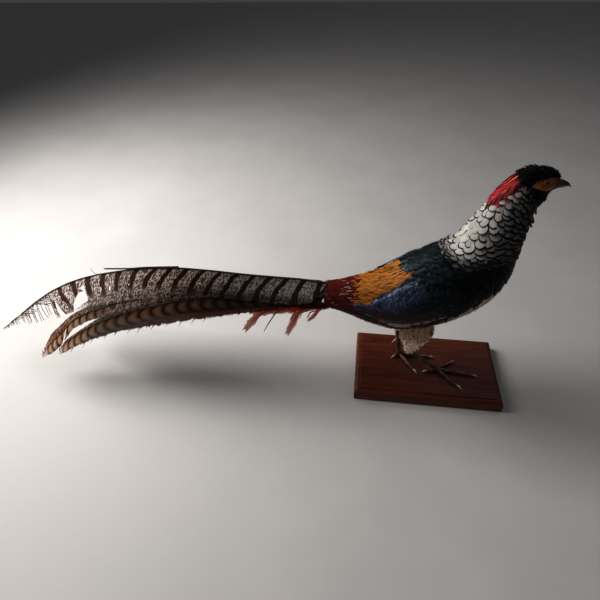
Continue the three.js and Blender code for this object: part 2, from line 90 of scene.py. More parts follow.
# The bare face in side view, as s and z.
FACE_OUTLINE = np.array([
    (97.5, 421.7), (104, 418), (112, 416), (121, 412), (130, 410), (141, 411), (143, 416), (141, 427),
    (131.5, 430.5), (120, 431.4), (110, 429), (101.8, 425),
], float)

EYE_CENTRE = (119.5, 11.75, 424.0)
EYE_RADIUS = 5.25

# The bill, from the forehead to the tip.
BILL_START = (140.5, 416.5)
BILL_LENGTH = 20.5
BILL_ROOT = 4.0
BILL_DEPTH = 15.0
BILL_WIDTH = 13.0
BILL_DROOP = 2.2
BILL_HOOK = 11.0
LOWER_SHARE = 0.8
MOUTH_BELOW = 1.2

# The tail's roof: the height of its ridge and the slope of its flanks along s.
RIDGE = np.array([
    (-184, 221), (-225, 227), (-314, 232.5), (-402, 240), (-460, 241.5), (-530, 234), (-590, 221.5),
    (-632, 208), (-678, 187), (-731, 154), (-792, 108), (-850, 64),
], float)
ROOF_SLOPE = np.array([(-850, 55), (-340, 55), (-250, 45), (-184, 32)], float)
TAIL_ROOT = -180.0
CELLS_SHRINK_FROM = 0.38
CELLS_SHRINK = 3.3
LAYER_STEP = 2.1
LAYER_MIDDLE = 0.45

# Each tail feather's band: s, and the distances down the flank of its two edges.
TAIL_BANDS = {
    "tail_central": np.array([
        (-184, 1.2, 37), (-240, 1.2, 48), (-314, 1.2, 47), (-402, 1.2, 47), (-500, 1.2, 56),
        (-600, 1.2, 58), (-680, 1.2, 58), (-712, 1.2, 56), (-748, 1.2, 50), (-775, 1.2, 36),
        (-800, 1.2, 20), (-846, 1.2, 4),
    ], float),
    "tail_second": np.array([
        (-184, 4, 26), (-314, 14, 38), (-402, 22, 46), (-456, 30, 58), (-500, 37, 66), (-550, 42, 76),
        (-592, 49, 82), (-610, 52, 82), (-650, 60, 89), (-680, 71, 112), (-705, 80, 120), (-733, 106, 117),
    ], float),
    "tail_third": np.array([
        (-184, 14, 38), (-314, 28, 69), (-402, 42, 90), (-480, 58, 105), (-571, 76, 114), (-604, 83, 119),
        (-634, 94, 123), (-672, 106, 129), (-688, 117, 129),
    ], float),
    "tail_fourth": np.array([
        (-184, 12, 34), (-290, 26, 58), (-380, 34, 76), (-460, 50, 86), (-520, 72, 88), (-540, 80, 86),
    ], float),
}

# The left second feather is shorter than the right one.
LEFT_BANDS = {
    "tail_second": np.vstack([TAIL_BANDS["tail_second"][:6],
                              [(-600, 44, 66), (-630, 44, 60), (-650, 46, 50)]]),
}

# The orange plumes: width, and points of the midrib on the right (s, out, z).
PLUMES = {
    "plume_long": (18, ((-176, 8, 178), (-250, 18, 172), (-288, 26, 170), (-308, 29, 153), (-327, 31, 128))),
    "plume_middle": (15,
                     ((-176, 12, 182), (-209, 18, 178), (-226, 22, 169), (-239, 25, 144), (-250, 28, 119))),
    "plume_short": (8, ((-178, 15, 186), (-190, 22, 179), (-200, 24, 165), (-211, 26, 152))),
}

# The loose strands under the tail: where each hangs (s, out, z), and how far down.
LOOSE_STRANDS = (
    (-231, 24, 174, 22), (-262, 27, 175, 52), (-219, 25, 172, 16), (-205, 24, 172, 14),
)

# The legs: sections of the thigh from the hip down (s, l, z, half length, half width),
# then the hock, the middle of the foot, the toe tips and the spur.
BOARD_TOP = 25.0
FOOT_LEVEL = BOARD_TOP + 0.3
TOE_RADIUS = 3.4
CLAW_LENGTH = 12.0
LEGS = {
    "right": {
        "thigh": np.array([
            (-18, -27, 166, 26, 21), (-18.5, -26, 144, 28.5, 22), (-18.5, -23.5, 124, 26, 20),
            (-19, -21.5, 106, 18, 15), (-20, -20, 92, 11, 10), (-22.5, -19, 82, 7.5, 7),
        ], float),
        "hock": (-23.9, -19, 79),
        "foot": (36.2, -18.6),
        "toes": {"middle": (113.8, -30), "inner": (76.4, 7.7), "outer": (78.3, -63.5), "hind": (8.3, -25.2)},
        "spur": (-12, 10, -8),
    },
    "left": {
        "thigh": np.array([
            (-32, 25, 174, 26, 20), (-35, 23, 157, 27, 20), (-39, 19, 139, 21, 16), (-43, 15, 123, 13, 11),
            (-45.5, 12.5, 111, 7.5, 7),
        ], float),
        "hock": (-45.5, 12, 107),
        "foot": (-33.2, 18.5),
        "toes": {"middle": (38, 13), "inner": (-1.4, -31), "outer": (20, 52), "hind": (-48.7, 7.1)},
        "spur": (-12, -10, -8),
    },
}

# The board: overall size, and its edge moulding from the bottom up.
BOARD_SIZE = (273.0, 162.0, 25.0)
BOARD_EDGE = 13.5
OVOLO_TOP = 22.5
OVOLO_WIDTH = 8.0
FILLET_WIDTH = 2.0
ARRIS = 0.5

# The camera: where it stands, the ways it looks and stands up, its lens and its sensor.
CAMERA_PLACE = (-0.1507, -0.6347, 0.7370)
CAMERA_FORWARD = (-0.11221473, 0.74143144, -0.66157937)
CAMERA_UP = (-0.06991052, 0.65824398, 0.74955145)
CAMERA_LENS = 28.07
CAMERA_SENSOR = 36.0


# ---- settings

def colour(label, description, default):
    return FloatVectorProperty(
        name=label, description=description, subtype="COLOR", size=3, min=0.0, max=1.0, default=default
    )


def length(label, description, default):
    return FloatProperty(name=label, description=description, unit="LENGTH", min=0.0, default=default)


class PheasantPlumage(PropertyGroup):
    """Sizes and colours of the feathers on the head and body."""

    coat_depth: length("Coat depth", "How far the skin lies under the feather tips on the body", 0.0026)
    face_depth: length("Face depth", "How far the skin lies under the feather tips on the head", 0.0009)
    cape_border: length("Cape border", "Width of the dark border of a cape feather", 0.0023)
    cape_row: length("Cape rows", "Distance between the rows of cape feathers low on the cape", 0.0103)
    crest_length: length("Crest length", "Length of the hair-like crest feathers", 0.044)
    crest_count: IntProperty(name="Crest feathers", description="Number of crest feathers", default=2800,
                             min=1)
    cape_white: colour("Cape white", "Ground of the cape feathers", (0.56, 0.54, 0.51))
    cape_dark: colour("Cape border", "Border of the cape feathers", (0.004, 0.005, 0.008))
    crest_red: colour("Crest red", "The crest", (0.60, 0.009, 0.030))
    # Crest deep also serves as painted shade towards the sides of the crest.
    crest_deep: colour("Crest deep", "Dark crest feathers", (0.075, 0.003, 0.006))
    crest_bright: colour("Crest bright", "Orange-red crest feathers near the crown", (0.82, 0.075, 0.022))
    # Painted glints: the pale tips of some crest strands.
    crest_glint: colour("Crest pale", "Worn and shining crest feathers", (0.72, 0.30, 0.28))
    crown_black: colour("Crown black", "The short feathers of the crown", (0.002, 0.003, 0.003))
    throat_blue: colour("Throat", "The short feathers of the throat and cheek", (0.002, 0.003, 0.006))
    mantle_green: colour("Mantle green", "Centres of the mantle feathers", (0.005, 0.018, 0.016))
    mantle_edge: colour("Mantle edge", "Borders of the mantle feathers", (0.002, 0.003, 0.003))
    breast_black: colour("Breast", "The green-black breast", (0.003, 0.004, 0.005))
    wing_blue: colour("Wing blue", "The small feathers of the wing", (0.030, 0.042, 0.078))
    wing_shine: colour("Wing shine", "Pale edges on the small feathers of the wing", (0.16, 0.18, 0.26))
    quill_brown: colour("Quill brown", "The long feathers of the wing", (0.030, 0.011, 0.008))
    quill_edge: colour("Quill edge", "The pale outer edge of a long wing feather", (0.42, 0.33, 0.30))
    rump_gold: colour("Rump gold", "The hair-like rump feathers", (0.47, 0.19, 0.027))
    rump_rust: colour("Rump rust", "Darker rump feathers", (0.28, 0.065, 0.012))
    rump_fleck: colour("Rump fleck", "Dark marks on the rump", (0.020, 0.010, 0.006))
    covert_red: colour("Covert red", "The tail coverts", (0.11, 0.009, 0.007))
    covert_dark: colour("Covert dark", "Underside of the tail coverts", (0.035, 0.006, 0.004))
    covert_fleck: colour("Covert fleck", "Pale flecks and the pale rear edge of the coverts",
                         (0.34, 0.22, 0.18))
    belly_white: colour("Belly", "The belly and vent", (0.62, 0.54, 0.48))
    belly_brown: colour("Flank brown", "Brown feathers under the wing", (0.060, 0.026, 0.018))
    thigh_cream: colour("Thigh cream", "The thighs", (0.98, 0.80, 0.62))
    thigh_tan: colour("Thigh tan", "The thighs where they meet the belly", (0.42, 0.24, 0.14))
    plume_orange: colour("Plume orange", "The hanging plumes", (0.60, 0.075, 0.016))
    plume_tip: colour("Plume tip", "Worn ends of the hanging plumes", (0.74, 0.34, 0.24))


class PheasantTail(PropertyGroup):
    """Sizes and colours of the long tail feathers."""

    bar_spacing: length("Bar spacing", "Distance between the dark bars of a central feather", 0.0293)
    cell_spacing: length("Cell spacing", "Distance between the dark arcs of an outer feather", 0.0232)
    barb_width: length("Barb width", "Width of a bundle of barbs on a tail feather", 0.0026)
    silver: colour("Silver", "Ground of the central feathers towards the tip", (0.98, 0.88, 0.81))
    silver_middle: colour("Silver middle", "Ground of the central feathers half way", (0.60, 0.44, 0.35))
    silver_root: colour("Silver root", "Ground of the central feathers by the rump", (0.30, 0.26, 0.235))
    bar_dark: colour("Bar", "Dark bars and scribbled lines", (0.018, 0.008, 0.006))
    bar_worn: colour("Worn bar", "Bars and lines towards the tip of a central feather",
                     (0.090, 0.040, 0.033))
    tan: colour("Tan", "Pale end of an outer feather", (0.47, 0.27, 0.155))
    brown: colour("Brown", "Ground of an outer feather", (0.120, 0.062, 0.034))
    brown_root: colour("Brown root", "Ground of an outer feather by the rump", (0.040, 0.021, 0.016))
    fringe: colour("Fringe", "Rusty lower fringe of an outer feather", (0.090, 0.020, 0.009))
    shaft_dark: colour("Shaft", "The dark shafts", (0.035, 0.018, 0.015))
    shaft_pale: colour("Pale shaft", "Shafts where they are worn pale", (0.62, 0.55, 0.50))


class PheasantHead(PropertyGroup):
    """Colours of the bare parts."""

    face_skin: colour("Face", "Bare skin round the eye", (0.60, 0.19, 0.022))
    face_tan: colour("Face rear", "Bare skin behind the eye", (0.46, 0.24, 0.07))
    face_dark: colour("Lores", "Dark skin by the bill and in the folds", (0.05, 0.014, 0.006))
    iris: colour("Iris", "Ring of the glass eye", (0.34, 0.060, 0.008))
    bill_dark: colour("Bill", "The horn of the bill", (0.028, 0.022, 0.015))
    bill_pale: colour("Bill edge", "Worn edge and tip of the bill", (0.30, 0.18, 0.08))
    leg_brown: colour("Leg", "Scales of the shanks and toes", (0.095, 0.046, 0.031))
    leg_pale: colour("Leg edges", "Worn edges of the scales", (0.30, 0.20, 0.15))
    claw_pale: colour("Claw", "The horn of the claws and spurs", (0.58, 0.45, 0.37))
    claw_dark: colour("Claw root", "The root of the claws and spurs", (0.16, 0.095, 0.065))


class PheasantStage(PropertyGroup):
    """Colours of the board and the floor, and the strength of the lamps."""

    wood_mid: colour("Mahogany", "Middle tone of the wood", (0.090, 0.018, 0.009))
    wood_dark: colour("Mahogany grain", "Dark streaks and pores", (0.030, 0.006, 0.004))
    wood_light: colour("Mahogany glow", "Light streaks and worn edges", (0.150, 0.036, 0.015))
    floor_pale: colour("Floor", "The plain floor", (0.58, 0.56, 0.545))
    lamp_power: FloatProperty(name="Lamp", description="Power of the main lamp", default=29.0, min=0.0,
                              unit="POWER")


def settings(group):
    """The values of one group of the panel."""
    return getattr(bpy.context.scene, "pheasant_" + group)


def in_mm(value):
    return value / MM


# ---- shapes from rows

def to_row(points):
    """Points of the bird's frame in millimetres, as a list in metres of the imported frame."""
    x, y, z = np.asarray(points, float).reshape(-1, 3).T
    turn_x, turn_y = math.cos(HEADING), math.sin(HEADING)
    return np.stack([STAND[0] + turn_x * x - turn_y * y, STAND[1] + turn_y * x + turn_x * y, z], axis=1) * MM


def read_rows(rows, place):
    """Reads rows of numbers at a place, counted in rows, along a smooth curve."""
    place = np.asarray(place, float)
    padded = np.vstack([2 * rows[0] - rows[1], rows, 2 * rows[-1] - rows[-2]])
    index = np.clip(np.floor(place).astype(int), 0, len(rows) - 2)
    share = (place - index)[..., None]
    a, b, c, d = (padded[index + k] for k in range(4))
    return 0.5 * (2 * b + (c - a) * share + (2 * a - 5 * b + 4 * c - d) * share**2
                  + (3 * b - a - 3 * c + d) * share**3)


def pile(*values):
    """Arrays side by side, as the parts of each point."""
    return np.stack(np.broadcast_arrays(*values), axis=-1)


def full_turn(count):
    """Evenly spread angles round a circle."""
    return np.linspace(0, 2 * np.pi, count, endpoint=False)


def chosen(keep, *values):
    """The chosen items of each array, and their number."""
    return *(value[keep] for value in values), np.count_nonzero(keep)


def unit(vectors):
    return vectors / np.maximum(np.linalg.norm(vectors, axis=-1, keepdims=True), 1e-9)


def smooth_step(low, high, value):
    share = np.clip((np.asarray(value, float) - low) / (high - low), 0, 1)
    return share * share * (3 - 2 * share)


def body_point(place, angle, lift):
    """A point on the plain body. The angle, in degrees, starts at the back."""
    row = read_rows(BODY, place)
    step = read_rows(BODY, place + TILT_SPAN)[..., :2] - read_rows(BODY, place - TILT_SPAN)[..., :2]
    along = unit(step)
    turn = np.radians(angle)
    high = (row[..., 2] + lift) * np.cos(turn)
    out = (row[..., 3] + lift) * np.sin(turn)
    return pile(row[..., 0] - along[..., 1] * high, out, row[..., 1] + along[..., 0] * high)


def tract_lift(tract, place, angle):
    """How high a feather tract stands above the plain body."""
    places = tract[:, 0]
    middle, reach, high = (np.interp(place, places, tract[:, k]) for k in (1, 2, 3))
    share = (np.abs(angle) - middle) / reach
    ends = smooth_step(places[0] - TRACT_FADE, places[0], place)
    ends = ends * (1 - smooth_step(places[-1], places[-1] + TRACT_FADE, place))
    return high * np.sqrt(np.clip(1 - share**4, 0, 1)) * ends


def wrap_angle(angle):
    return (np.asarray(angle, float) + 180) % 360 - 180


def outer_form(place, angle):
    """A point on the bird's outer form, tracts included."""
    angle = wrap_angle(angle)
    lift = np.maximum(tract_lift(CAPE_TRACT, place, angle), tract_lift(CREST_TRACT, place, angle))
    lift = np.maximum(lift, tract_lift(WING_TRACT, place, angle))
    return body_point(place, angle, lift)


def form_under_crest(place, angle):
    """The outer form without the crest, for the feathers that the crest lies on."""
    angle = wrap_angle(angle)
    return body_point(place, angle, tract_lift(CAPE_TRACT, place, angle))


def thigh_form(side):
    """The outer form of a thigh. Its places count from the hock up to the hip."""
    rows = LEGS[side]["thigh"][::-1]

    def point(place, angle):
        row = read_rows(rows, place)
        turn = np.radians(angle)
        return pile(row[..., 0] + row[..., 3] * np.cos(turn), row[..., 1] - row[..., 4] * np.sin(turn),
                         row[..., 2])

    return point


def surface_frame(form, place, angle):
    """A form's points and normals, and the size of one place and one degree on it."""
    step, turn = 0.02, 0.8
    along = (form(place + step, angle) - form(place - step, angle)) / (2 * step)
    around = (form(place, angle + turn) - form(place, angle - turn)) / (2 * turn)
    normal = unit(np.cross(along, around))
    return form(place, angle), normal, np.linalg.norm(along, axis=-1), np.linalg.norm(around, axis=-1)


def smooth_line(points, count):
    """Evenly spread points on a smooth line through the given ones."""
    rows = np.asarray(points, float)
    fine = read_rows(rows, np.linspace(0, len(rows) - 1, 40 * len(rows)))
    run = np.concatenate([[0], np.cumsum(np.linalg.norm(np.diff(fine, axis=0), axis=1))])
    places = np.linspace(0, run[-1], count)
    return np.stack([np.interp(places, run, fine[:, k]) for k in range(3)], axis=1)


def inside_outline(s, z, outline):
    """Which of the points (s, z) lie inside a closed outline."""
    inside = np.zeros(np.shape(s), bool)
    ends = np.roll(outline, -1, axis=0)
    for (s1, z1), (s2, z2) in zip(outline, ends):
        crosses = (z1 > z) != (z2 > z)
        inside ^= crosses & (s < (s2 - s1) * (z - z1) / (z2 - z1 + 1e-12) + s1)
    return inside


# ---- meshes

def mark_points(mesh, colours):
    """Gives each point of a mesh the colour that its material reads."""
    layer = mesh.color_attributes.new(name="Marking", type="FLOAT_COLOR", domain="POINT")
    full = np.ones((len(mesh.vertices), 4), np.float32)
    full[:, :colours.shape[-1]] = colours
    layer.data.foreach_set("color", full.ravel())


def add_object(name, data):
    thing = bpy.data.objects.new(name, data)
    bpy.context.scene.collection.objects.link(thing)
    return thing


def make_mesh(name, points, quads, uv_maps, tint=None, slots=None):
    """A mesh object from arrays. Maps and tints are given for each corner or each point."""
    mesh = bpy.data.meshes.new(name)
    corners = np.asarray(quads, np.int32).ravel()
    mesh.vertices.add(len(points))
    mesh.vertices.foreach_set("co", np.asarray(points, np.float32).ravel())
    mesh.loops.add(len(corners))
    mesh.loops.foreach_set("vertex_index", corners)
    mesh.polygons.add(len(quads))
    mesh.polygons.foreach_set("loop_start", np.arange(0, len(corners), 4, dtype=np.int32))
    if slots is not None:
        mesh.polygons.foreach_set("material_index", np.asarray(slots, np.int32))
    mesh.update(calc_edges=True)
    for label, values in uv_maps.items():
        values = np.asarray(values, np.float32).reshape(-1, 2)
        if len(values) == len(points):
            values = values[corners]
        mesh.uv_layers.new(name=label).data.foreach_set("uv", values.ravel())
    if tint is not None:
        mark_points(mesh, tint)
    mesh.shade_smooth()
    return add_object(name, mesh)


def finish_piece(piece, materials, replaced=()):
    """Gives a piece its materials, its body and the nodes it stands for."""
    for material in materials:
        piece.data.materials.append(material)
    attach(piece, "root")
    if replaced:
        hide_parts(*replaced)
    return piece


def grid_quads(rows, columns, count=1, closed=False):
    """The quads of a number of grids, each of rows by columns points."""
    row = np.arange(rows - 1)[:, None]
    column = np.arange(columns if closed else columns - 1)[None, :]
    following = (column + 1) % columns
    quad = pile(row * columns + column, row * columns + following,
                     (row + 1) * columns + following, (row + 1) * columns + column)
    first = (np.arange(count) * rows * columns)[:, None, None, None]
    return (quad[None] + first).reshape(-1, 4)


def join_parts(parts):
    """Joins dictionaries of mesh arrays into one."""
    joined = {}
    first = 0
    shifted = []
    for part in parts:
        shifted.append(part["quads"] + first)
        first += len(part["points"])
    joined["quads"] = np.concatenate(shifted)
    for key in parts[0]:
        if key != "quads":
            joined[key] = np.concatenate([part[key] for part in parts])
    return joined


def take_faces(part, keep):
    """The chosen faces of a part, with only the points they use."""
    used, inverse = np.unique(part["quads"][keep], return_inverse=True)
    chosen = {key: value[used] for key, value in part.items() if key != "quads"}
    chosen["quads"] = inverse.reshape(-1, 4)
    return chosen


def tube(centres, radii, sides, flat_below=None, upright=(0, 0, 1)):
    """Rings of points round a line: an array of rings by sides by 3."""
    along = unit(np.gradient(centres, axis=0))
    across = np.zeros_like(centres)
    current = np.array(upright, float)
    for k, way in enumerate(along):
        current = current - way * (current @ way)
        current = current / np.linalg.norm(current)
        across[k] = current
    other = np.cross(along, across)
    turn = full_turn(sides)
    radii = np.asarray(radii, float).reshape(len(centres), -1, 1)
    swing = across[:, None] * np.cos(turn)[:, None] + other[:, None] * np.sin(turn)[:, None]
    rings = centres[:, None] + radii * swing
    if flat_below is not None:
        rings[..., 2] = np.maximum(rings[..., 2], flat_below)
    return rings


def closed_rings(rings):
    """Closes both ends of a stack of rings by drawing them in to their middles."""
    ends = []
    for ring in (rings[0], rings[-1]):
        middle = ring.mean(axis=0)
        ends.append([middle + (ring - middle) * share for share in (0.6, 0.05)])
    return np.concatenate([ends[0][::-1], rings, ends[1]])


# ---- feathers

def vane_outline(shares, root, widest, squareness, tip):
    """Half width of a vane along its length, as a share of its widest half width."""
    rise = root + (1 - root) * np.sin(np.pi / 2 * np.clip(shares / widest, 0, 1))
    fall = np.clip((shares - widest) / (1 - widest), 0, 1)
    return rise * np.maximum((1 - fall**squareness) ** (1 / squareness), tip)


def bake_patch(place, angle, across, along, patch=0.003):
    """A small patch of the skin's own unwrap, at the root of each feather."""
    u = (place + 3) / (BODY_END + 6)
    v = wrap_angle(angle) / 360 + 0.5
    u = np.clip(u, patch, 1 - patch)
    v = np.clip(v, patch, 1 - patch)
    return pile(u + patch * (along - 0.5), v + patch * (across - 0.5))


# The usual shape of a small feather, which each coat changes to suit.
USUAL_VANE = dict(rows=7, columns=5, crowding=0.8, root=0.45, widest=0.6, squareness=2.2, tip=0.16,
                  ragged=0.0, steps=6, roll=3.5, camber=0.10, sweep=1.0, flutter=0.12, flare=0.0,
                  edge_side=0.75, edge_tip=0.82)


def lay_vanes(form, rng, look, place, angle, length, width, turn, depth, colour, rim=None, rise=0, lift=0,
              border=None):
    """Lays vanes on a form, rooted at places and angles. look changes the usual shape of a vane."""
    look = {**USUAL_VANE, **look}
    rim = colour if rim is None else rim
    count, columns, steps = len(place), look["columns"], look["steps"]
    sizes = (length, width, depth, rise, lift)
    length, width, depth, rise, lift = (np.broadcast_to(size, count) for size in sizes)
    outline = [look[key] for key in ("root", "widest", "squareness", "tip")]
    v = np.repeat(np.linspace(0, 1, look["rows"])[None] ** look["crowding"], count, axis=0)
    if border is not None:
        inner = (1 - border / length)[:, None]
        inwards = np.linspace(0, 1, look["rows"] - 2)
        inwards = 0.35 * inwards + 0.65 * np.sin(np.pi / 2 * inwards)
        v = np.hstack([inwards * inner, 0.5 + 0.5 * inner, np.ones((count, 1))])
    half = 0.5 * width[:, None] * vane_outline(v, *outline)
    x = half[..., None] * np.linspace(-1, 1, columns)
    if border is not None:
        inside = vane_outline(np.clip(v / inner, 0, 1), *outline)
        inside = inside * (0.5 * width - look["side_border"] * border)[:, None]
        inside = np.minimum(inside, 0.94 * half)
        x = pile(-half, -inside, -inside / 2, 0 * inside, inside / 2, inside, half)
    v = np.repeat(v[..., None], columns, axis=2)
    if look["ragged"]:
        cut = rng.uniform(-look["ragged"], look["ragged"] * 0.4, (count, 1, columns))
        v = v + cut * smooth_step(0.55, 1.0, v)

    # The midrib is traced over the form in short steps, so a feather follows its curve.
    heading = np.radians(turn)
    trace = [(place, angle)]
    for _ in range(steps):
        _, _, size_place, size_angle = surface_frame(form, place, angle)
        place = place - np.cos(heading) * length / steps / size_place
        angle = angle + np.sin(heading) * length / steps / size_angle
        trace.append((place, angle))
    trace = np.stack(trace, axis=-1)
    stop = np.clip(v * steps, 0, steps - 1e-6)
    low = np.floor(stop).astype(int)
    part = stop - low
    pick = np.arange(count)[:, None, None]
    place, angle = trace[:, pick, low] * (1 - part) + trace[:, pick, low + 1] * part
    _, _, size_place, size_angle = surface_frame(form, place, angle)
    heading = heading[:, None, None]
    place = place + np.sin(heading) * x / size_place
    angle = angle + np.cos(heading) * x / size_angle

    base, normal, _, _ = surface_frame(form, place, angle)
    sizes = (length, width, depth, rise, lift)
    length, width, depth, rise, lift = (size[:, None, None] for size in sizes)
    roll = np.tan(np.radians(rng.normal(0, look["roll"], count)))[:, None, None]
    camber = look["camber"] * width
    share = x / np.maximum(0.5 * width, 1e-6)
    height = -depth * (1 - v) ** look["sweep"] + rise
    height = height + 0.35 * camber - camber * share**2 * (0.3 + 0.7 * v) + roll * x
    height = height + rng.normal(0, look["flutter"], (count, 1, 1)) * v
    height = height + look["flare"] * length * v**3 + lift * v**1.5
    edge = np.maximum(smooth_step(look["edge_side"], 1.0, np.abs(x) / np.maximum(half[..., None], 1e-6)),
                      smooth_step(look["edge_tip"], 0.97, v))
    main, rim = (np.broadcast_to(tint, (count, 3))[:, None, None] for tint in (colour, rim))
    return {
        "points": to_row(base + normal * height[..., None]),
        "quads": grid_quads(look["rows"], columns, count),
        "OFBake": bake_patch(*trace[:, :, :1, None], share * 0.5 + 0.5, np.clip(v, 0, 1)).reshape(-1, 2),
        "Vane": pile(x, v * length).reshape(-1, 2) * 0.01,
        "tint": blend_colours(main, rim, edge).reshape(-1, 3),
    }


def staggered_roots(form, places, angles, gap_along, gap_across, rng, jitter=0.25, measure_at=None):
    """Roots in staggered rows between two places and two angles, as places and angles."""
    found = []
    fine = np.linspace(*angles, 241)
    middle = 120 if measure_at is None else np.argmin(np.abs(fine - measure_at))
    place, odd = places[0], 0
    while place < places[1]:
        _, _, size_place, size_angle = surface_frame(form, np.full_like(fine, place), fine)
        run = np.concatenate([[0], np.cumsum(size_angle[1:] * np.diff(fine))])
        count = max(int(run[-1] / gap_across), 1)
        spots = (np.arange(count) + 0.25 + 0.5 * odd + jitter * rng.uniform(-1, 1, count)) * run[-1] / count
        advance = gap_along / size_place[middle]
        found.append((np.full(count, place) + jitter * advance * rng.uniform(-1, 1, count),
                      np.interp(np.clip(spots, 0, run[-1]), run, fine)))
        place += advance
        odd = 1 - odd
    return np.concatenate(found, axis=1)


def tube_part(rings, run):
    """The mesh arrays of a tube, with each ring's place along the feather in metres."""
    run = np.repeat(run, rings.shape[1])
    return {"points": to_row(rings), "quads": grid_quads(*rings.shape[:2], closed=True),
            "Vane": pile(run, np.zeros_like(run))}


def closed_object(name, points, rows, columns):
    """A closed mesh from rings of points in metres, with a face over each end."""
    faces = [tuple(quad) for quad in grid_quads(rows, columns, closed=True)]
    faces.append(tuple(range(columns)))
    faces.append(tuple(reversed(range((rows - 1) * columns, rows * columns))))
    mesh = bpy.data.meshes.new(name)
    mesh.from_pydata(points.tolist(), [], faces)
    work = bmesh.new()
    work.from_mesh(mesh)
    bmesh.ops.recalc_face_normals(work, faces=work.faces)
    work.to_mesh(mesh)
    work.free()
    return add_object(name, mesh)


def vary(rng, size, count, spread=0.1):
    """One size for each feather, larger or smaller by chance."""
    return size * (1 + rng.uniform(-spread, spread, count))


def blend_colours(first, second, share):
    share = np.asarray(share, float)[..., None]
    return np.asarray(first) * (1 - share) + np.asarray(second) * share


def shade(colours, rng, spread, count):
    """Lightens or darkens each feather's colour by chance."""
    return np.asarray(colours) * (1 + rng.uniform(-spread, spread, (count, 1)))


def make_coat(name, part, material, replaced=()):
    piece = make_mesh(name, part["points"], part["quads"],
                      {"OFBake": part["OFBake"], "Vane": part["Vane"]}, part["tint"])
    return finish_piece(piece, [material], replaced)


# ---- materials: helpers

class Value:
    """A socket in a node tree. Sums with it add Math nodes to the tree."""

    def __init__(self, tree, socket):
        self.tree, self.socket = tree, socket

    def math(self, operation, *others):
        return self.tree.add("Math", {0: self, **dict(enumerate(others, 1))}, operation=operation)

    def __add__(self, other):
        return self.math("ADD", other)

    def __sub__(self, other):
        return self.math("SUBTRACT", other)

    def __mul__(self, other):
        return self.math("MULTIPLY", other)

    def __truediv__(self, other):
        return self.math("DIVIDE", other)

    def __abs__(self):
        return self.math("ABSOLUTE")

    def inverse(self):
        return self.tree.add("Math", {0: 1.0, 1: self}, operation="SUBTRACT")


class Tree:
    """Adds nodes to a node tree. A Value given to an input is linked, and a number is set."""

    def __init__(self, tree):
        self.tree = tree
        self.count = 0

    def put(self, socket, value):
        if isinstance(value, Value):
            self.tree.links.new(value.socket, socket)
        elif socket.type == "RGBA":
            socket.default_value = (*value, 1.0)
        else:
            socket.default_value = value

    def add(self, kind, inputs=None, output=0, **options):
        node = self.tree.nodes.new("ShaderNode" + kind)
        node.location = (220 * (self.count % 9), -260 * (self.count // 9))
        self.count += 1
        for key, value in options.items():
            setattr(node, key, value)
        for key, value in (inputs or {}).items():
            self.put(node.inputs[key], value)
        return Value(self, node.outputs[output])

    def ramp(self, value, low, high, to_low=0.0, to_high=1.0, kind="SMOOTHSTEP"):
        return self.add("MapRange", {"Value": value, "From Min": low, "From Max": high,
                                     "To Min": to_low, "To Max": to_high}, interpolation_type=kind)

    def line(self, *ends):
        return self.ramp(*ends, kind="LINEAR")

    def mix(self, share, first, second, blend="MIX"):
        return self.add("Mix", {0: share, 6: first, 7: second}, 2, data_type="RGBA", blend_type=blend)

    def toned(self, colour, tone):
        return self.mix(1.0, colour, self.vector(tone, tone, tone), "MULTIPLY")

    def noise(self, source, scale, detail=2.0, roughness=0.5):
        """Noise along a line where the source is a number, and in space where it is a vector."""
        flat = source.socket.type == "VALUE"
        return self.add("TexNoise", {"W" if flat else "Vector": source, "Scale": scale, "Detail": detail,
                                     "Roughness": roughness}, noise_dimensions="1D" if flat else "3D")

    def cells(self, scale, **options):
        return self.add("TexVoronoi", {"Vector": self.place(), "Scale": scale}, "Distance", **options)

    def place(self):
        return self.add("TexCoord", output="Object")

    def marking(self, output="Color"):
        return self.add("Attribute", output=output, attribute_name="Marking")

    def split(self, vector):
        node = self.add("SeparateXYZ", {0: vector}).socket.node
        return [Value(self, socket) for socket in node.outputs]

    def uv(self, label):
        return self.split(self.add("UVMap", uv_map=label))[:2]

    def vector(self, x, y, z=0.0):
        return self.add("CombineXYZ", {0: x, 1: y, 2: z})


def effect(name, inputs, outputs):
    """Makes a function into a shader node group with named sockets, built at its first use."""
    def kind(is_colour):
        return "NodeSocketColor" if is_colour else "NodeSocketFloat"

    def wrap(build):
        def make():
            group = bpy.data.node_groups.new(name, "ShaderNodeTree")
            for label, default in inputs.items():
                socket = group.interface.new_socket(
                    label, in_out="INPUT", socket_type=kind(isinstance(default, tuple)))
                socket.default_value = default
            for label in outputs:
                group.interface.new_socket(label, in_out="OUTPUT", socket_type=kind(label == "Colour"))
            tree = Tree(group)
            source = group.nodes.new("NodeGroupInput").outputs
            target = group.nodes.new("NodeGroupOutput").inputs
            made = build(tree, *(Value(tree, source[label]) for label in inputs))
            for label, value in zip(outputs, made):
                tree.put(target[label], value)
            return group

        def use(tree, *values):
            group = bpy.data.node_groups.get(name) or make()
            node = tree.tree.nodes.new("ShaderNodeGroup")
            node.node_tree = group
            for label, value in zip(inputs, values):
                tree.put(node.inputs[label], value)
            return [Value(tree, node.outputs[label]) for label in outputs]

        return use

    return wrap


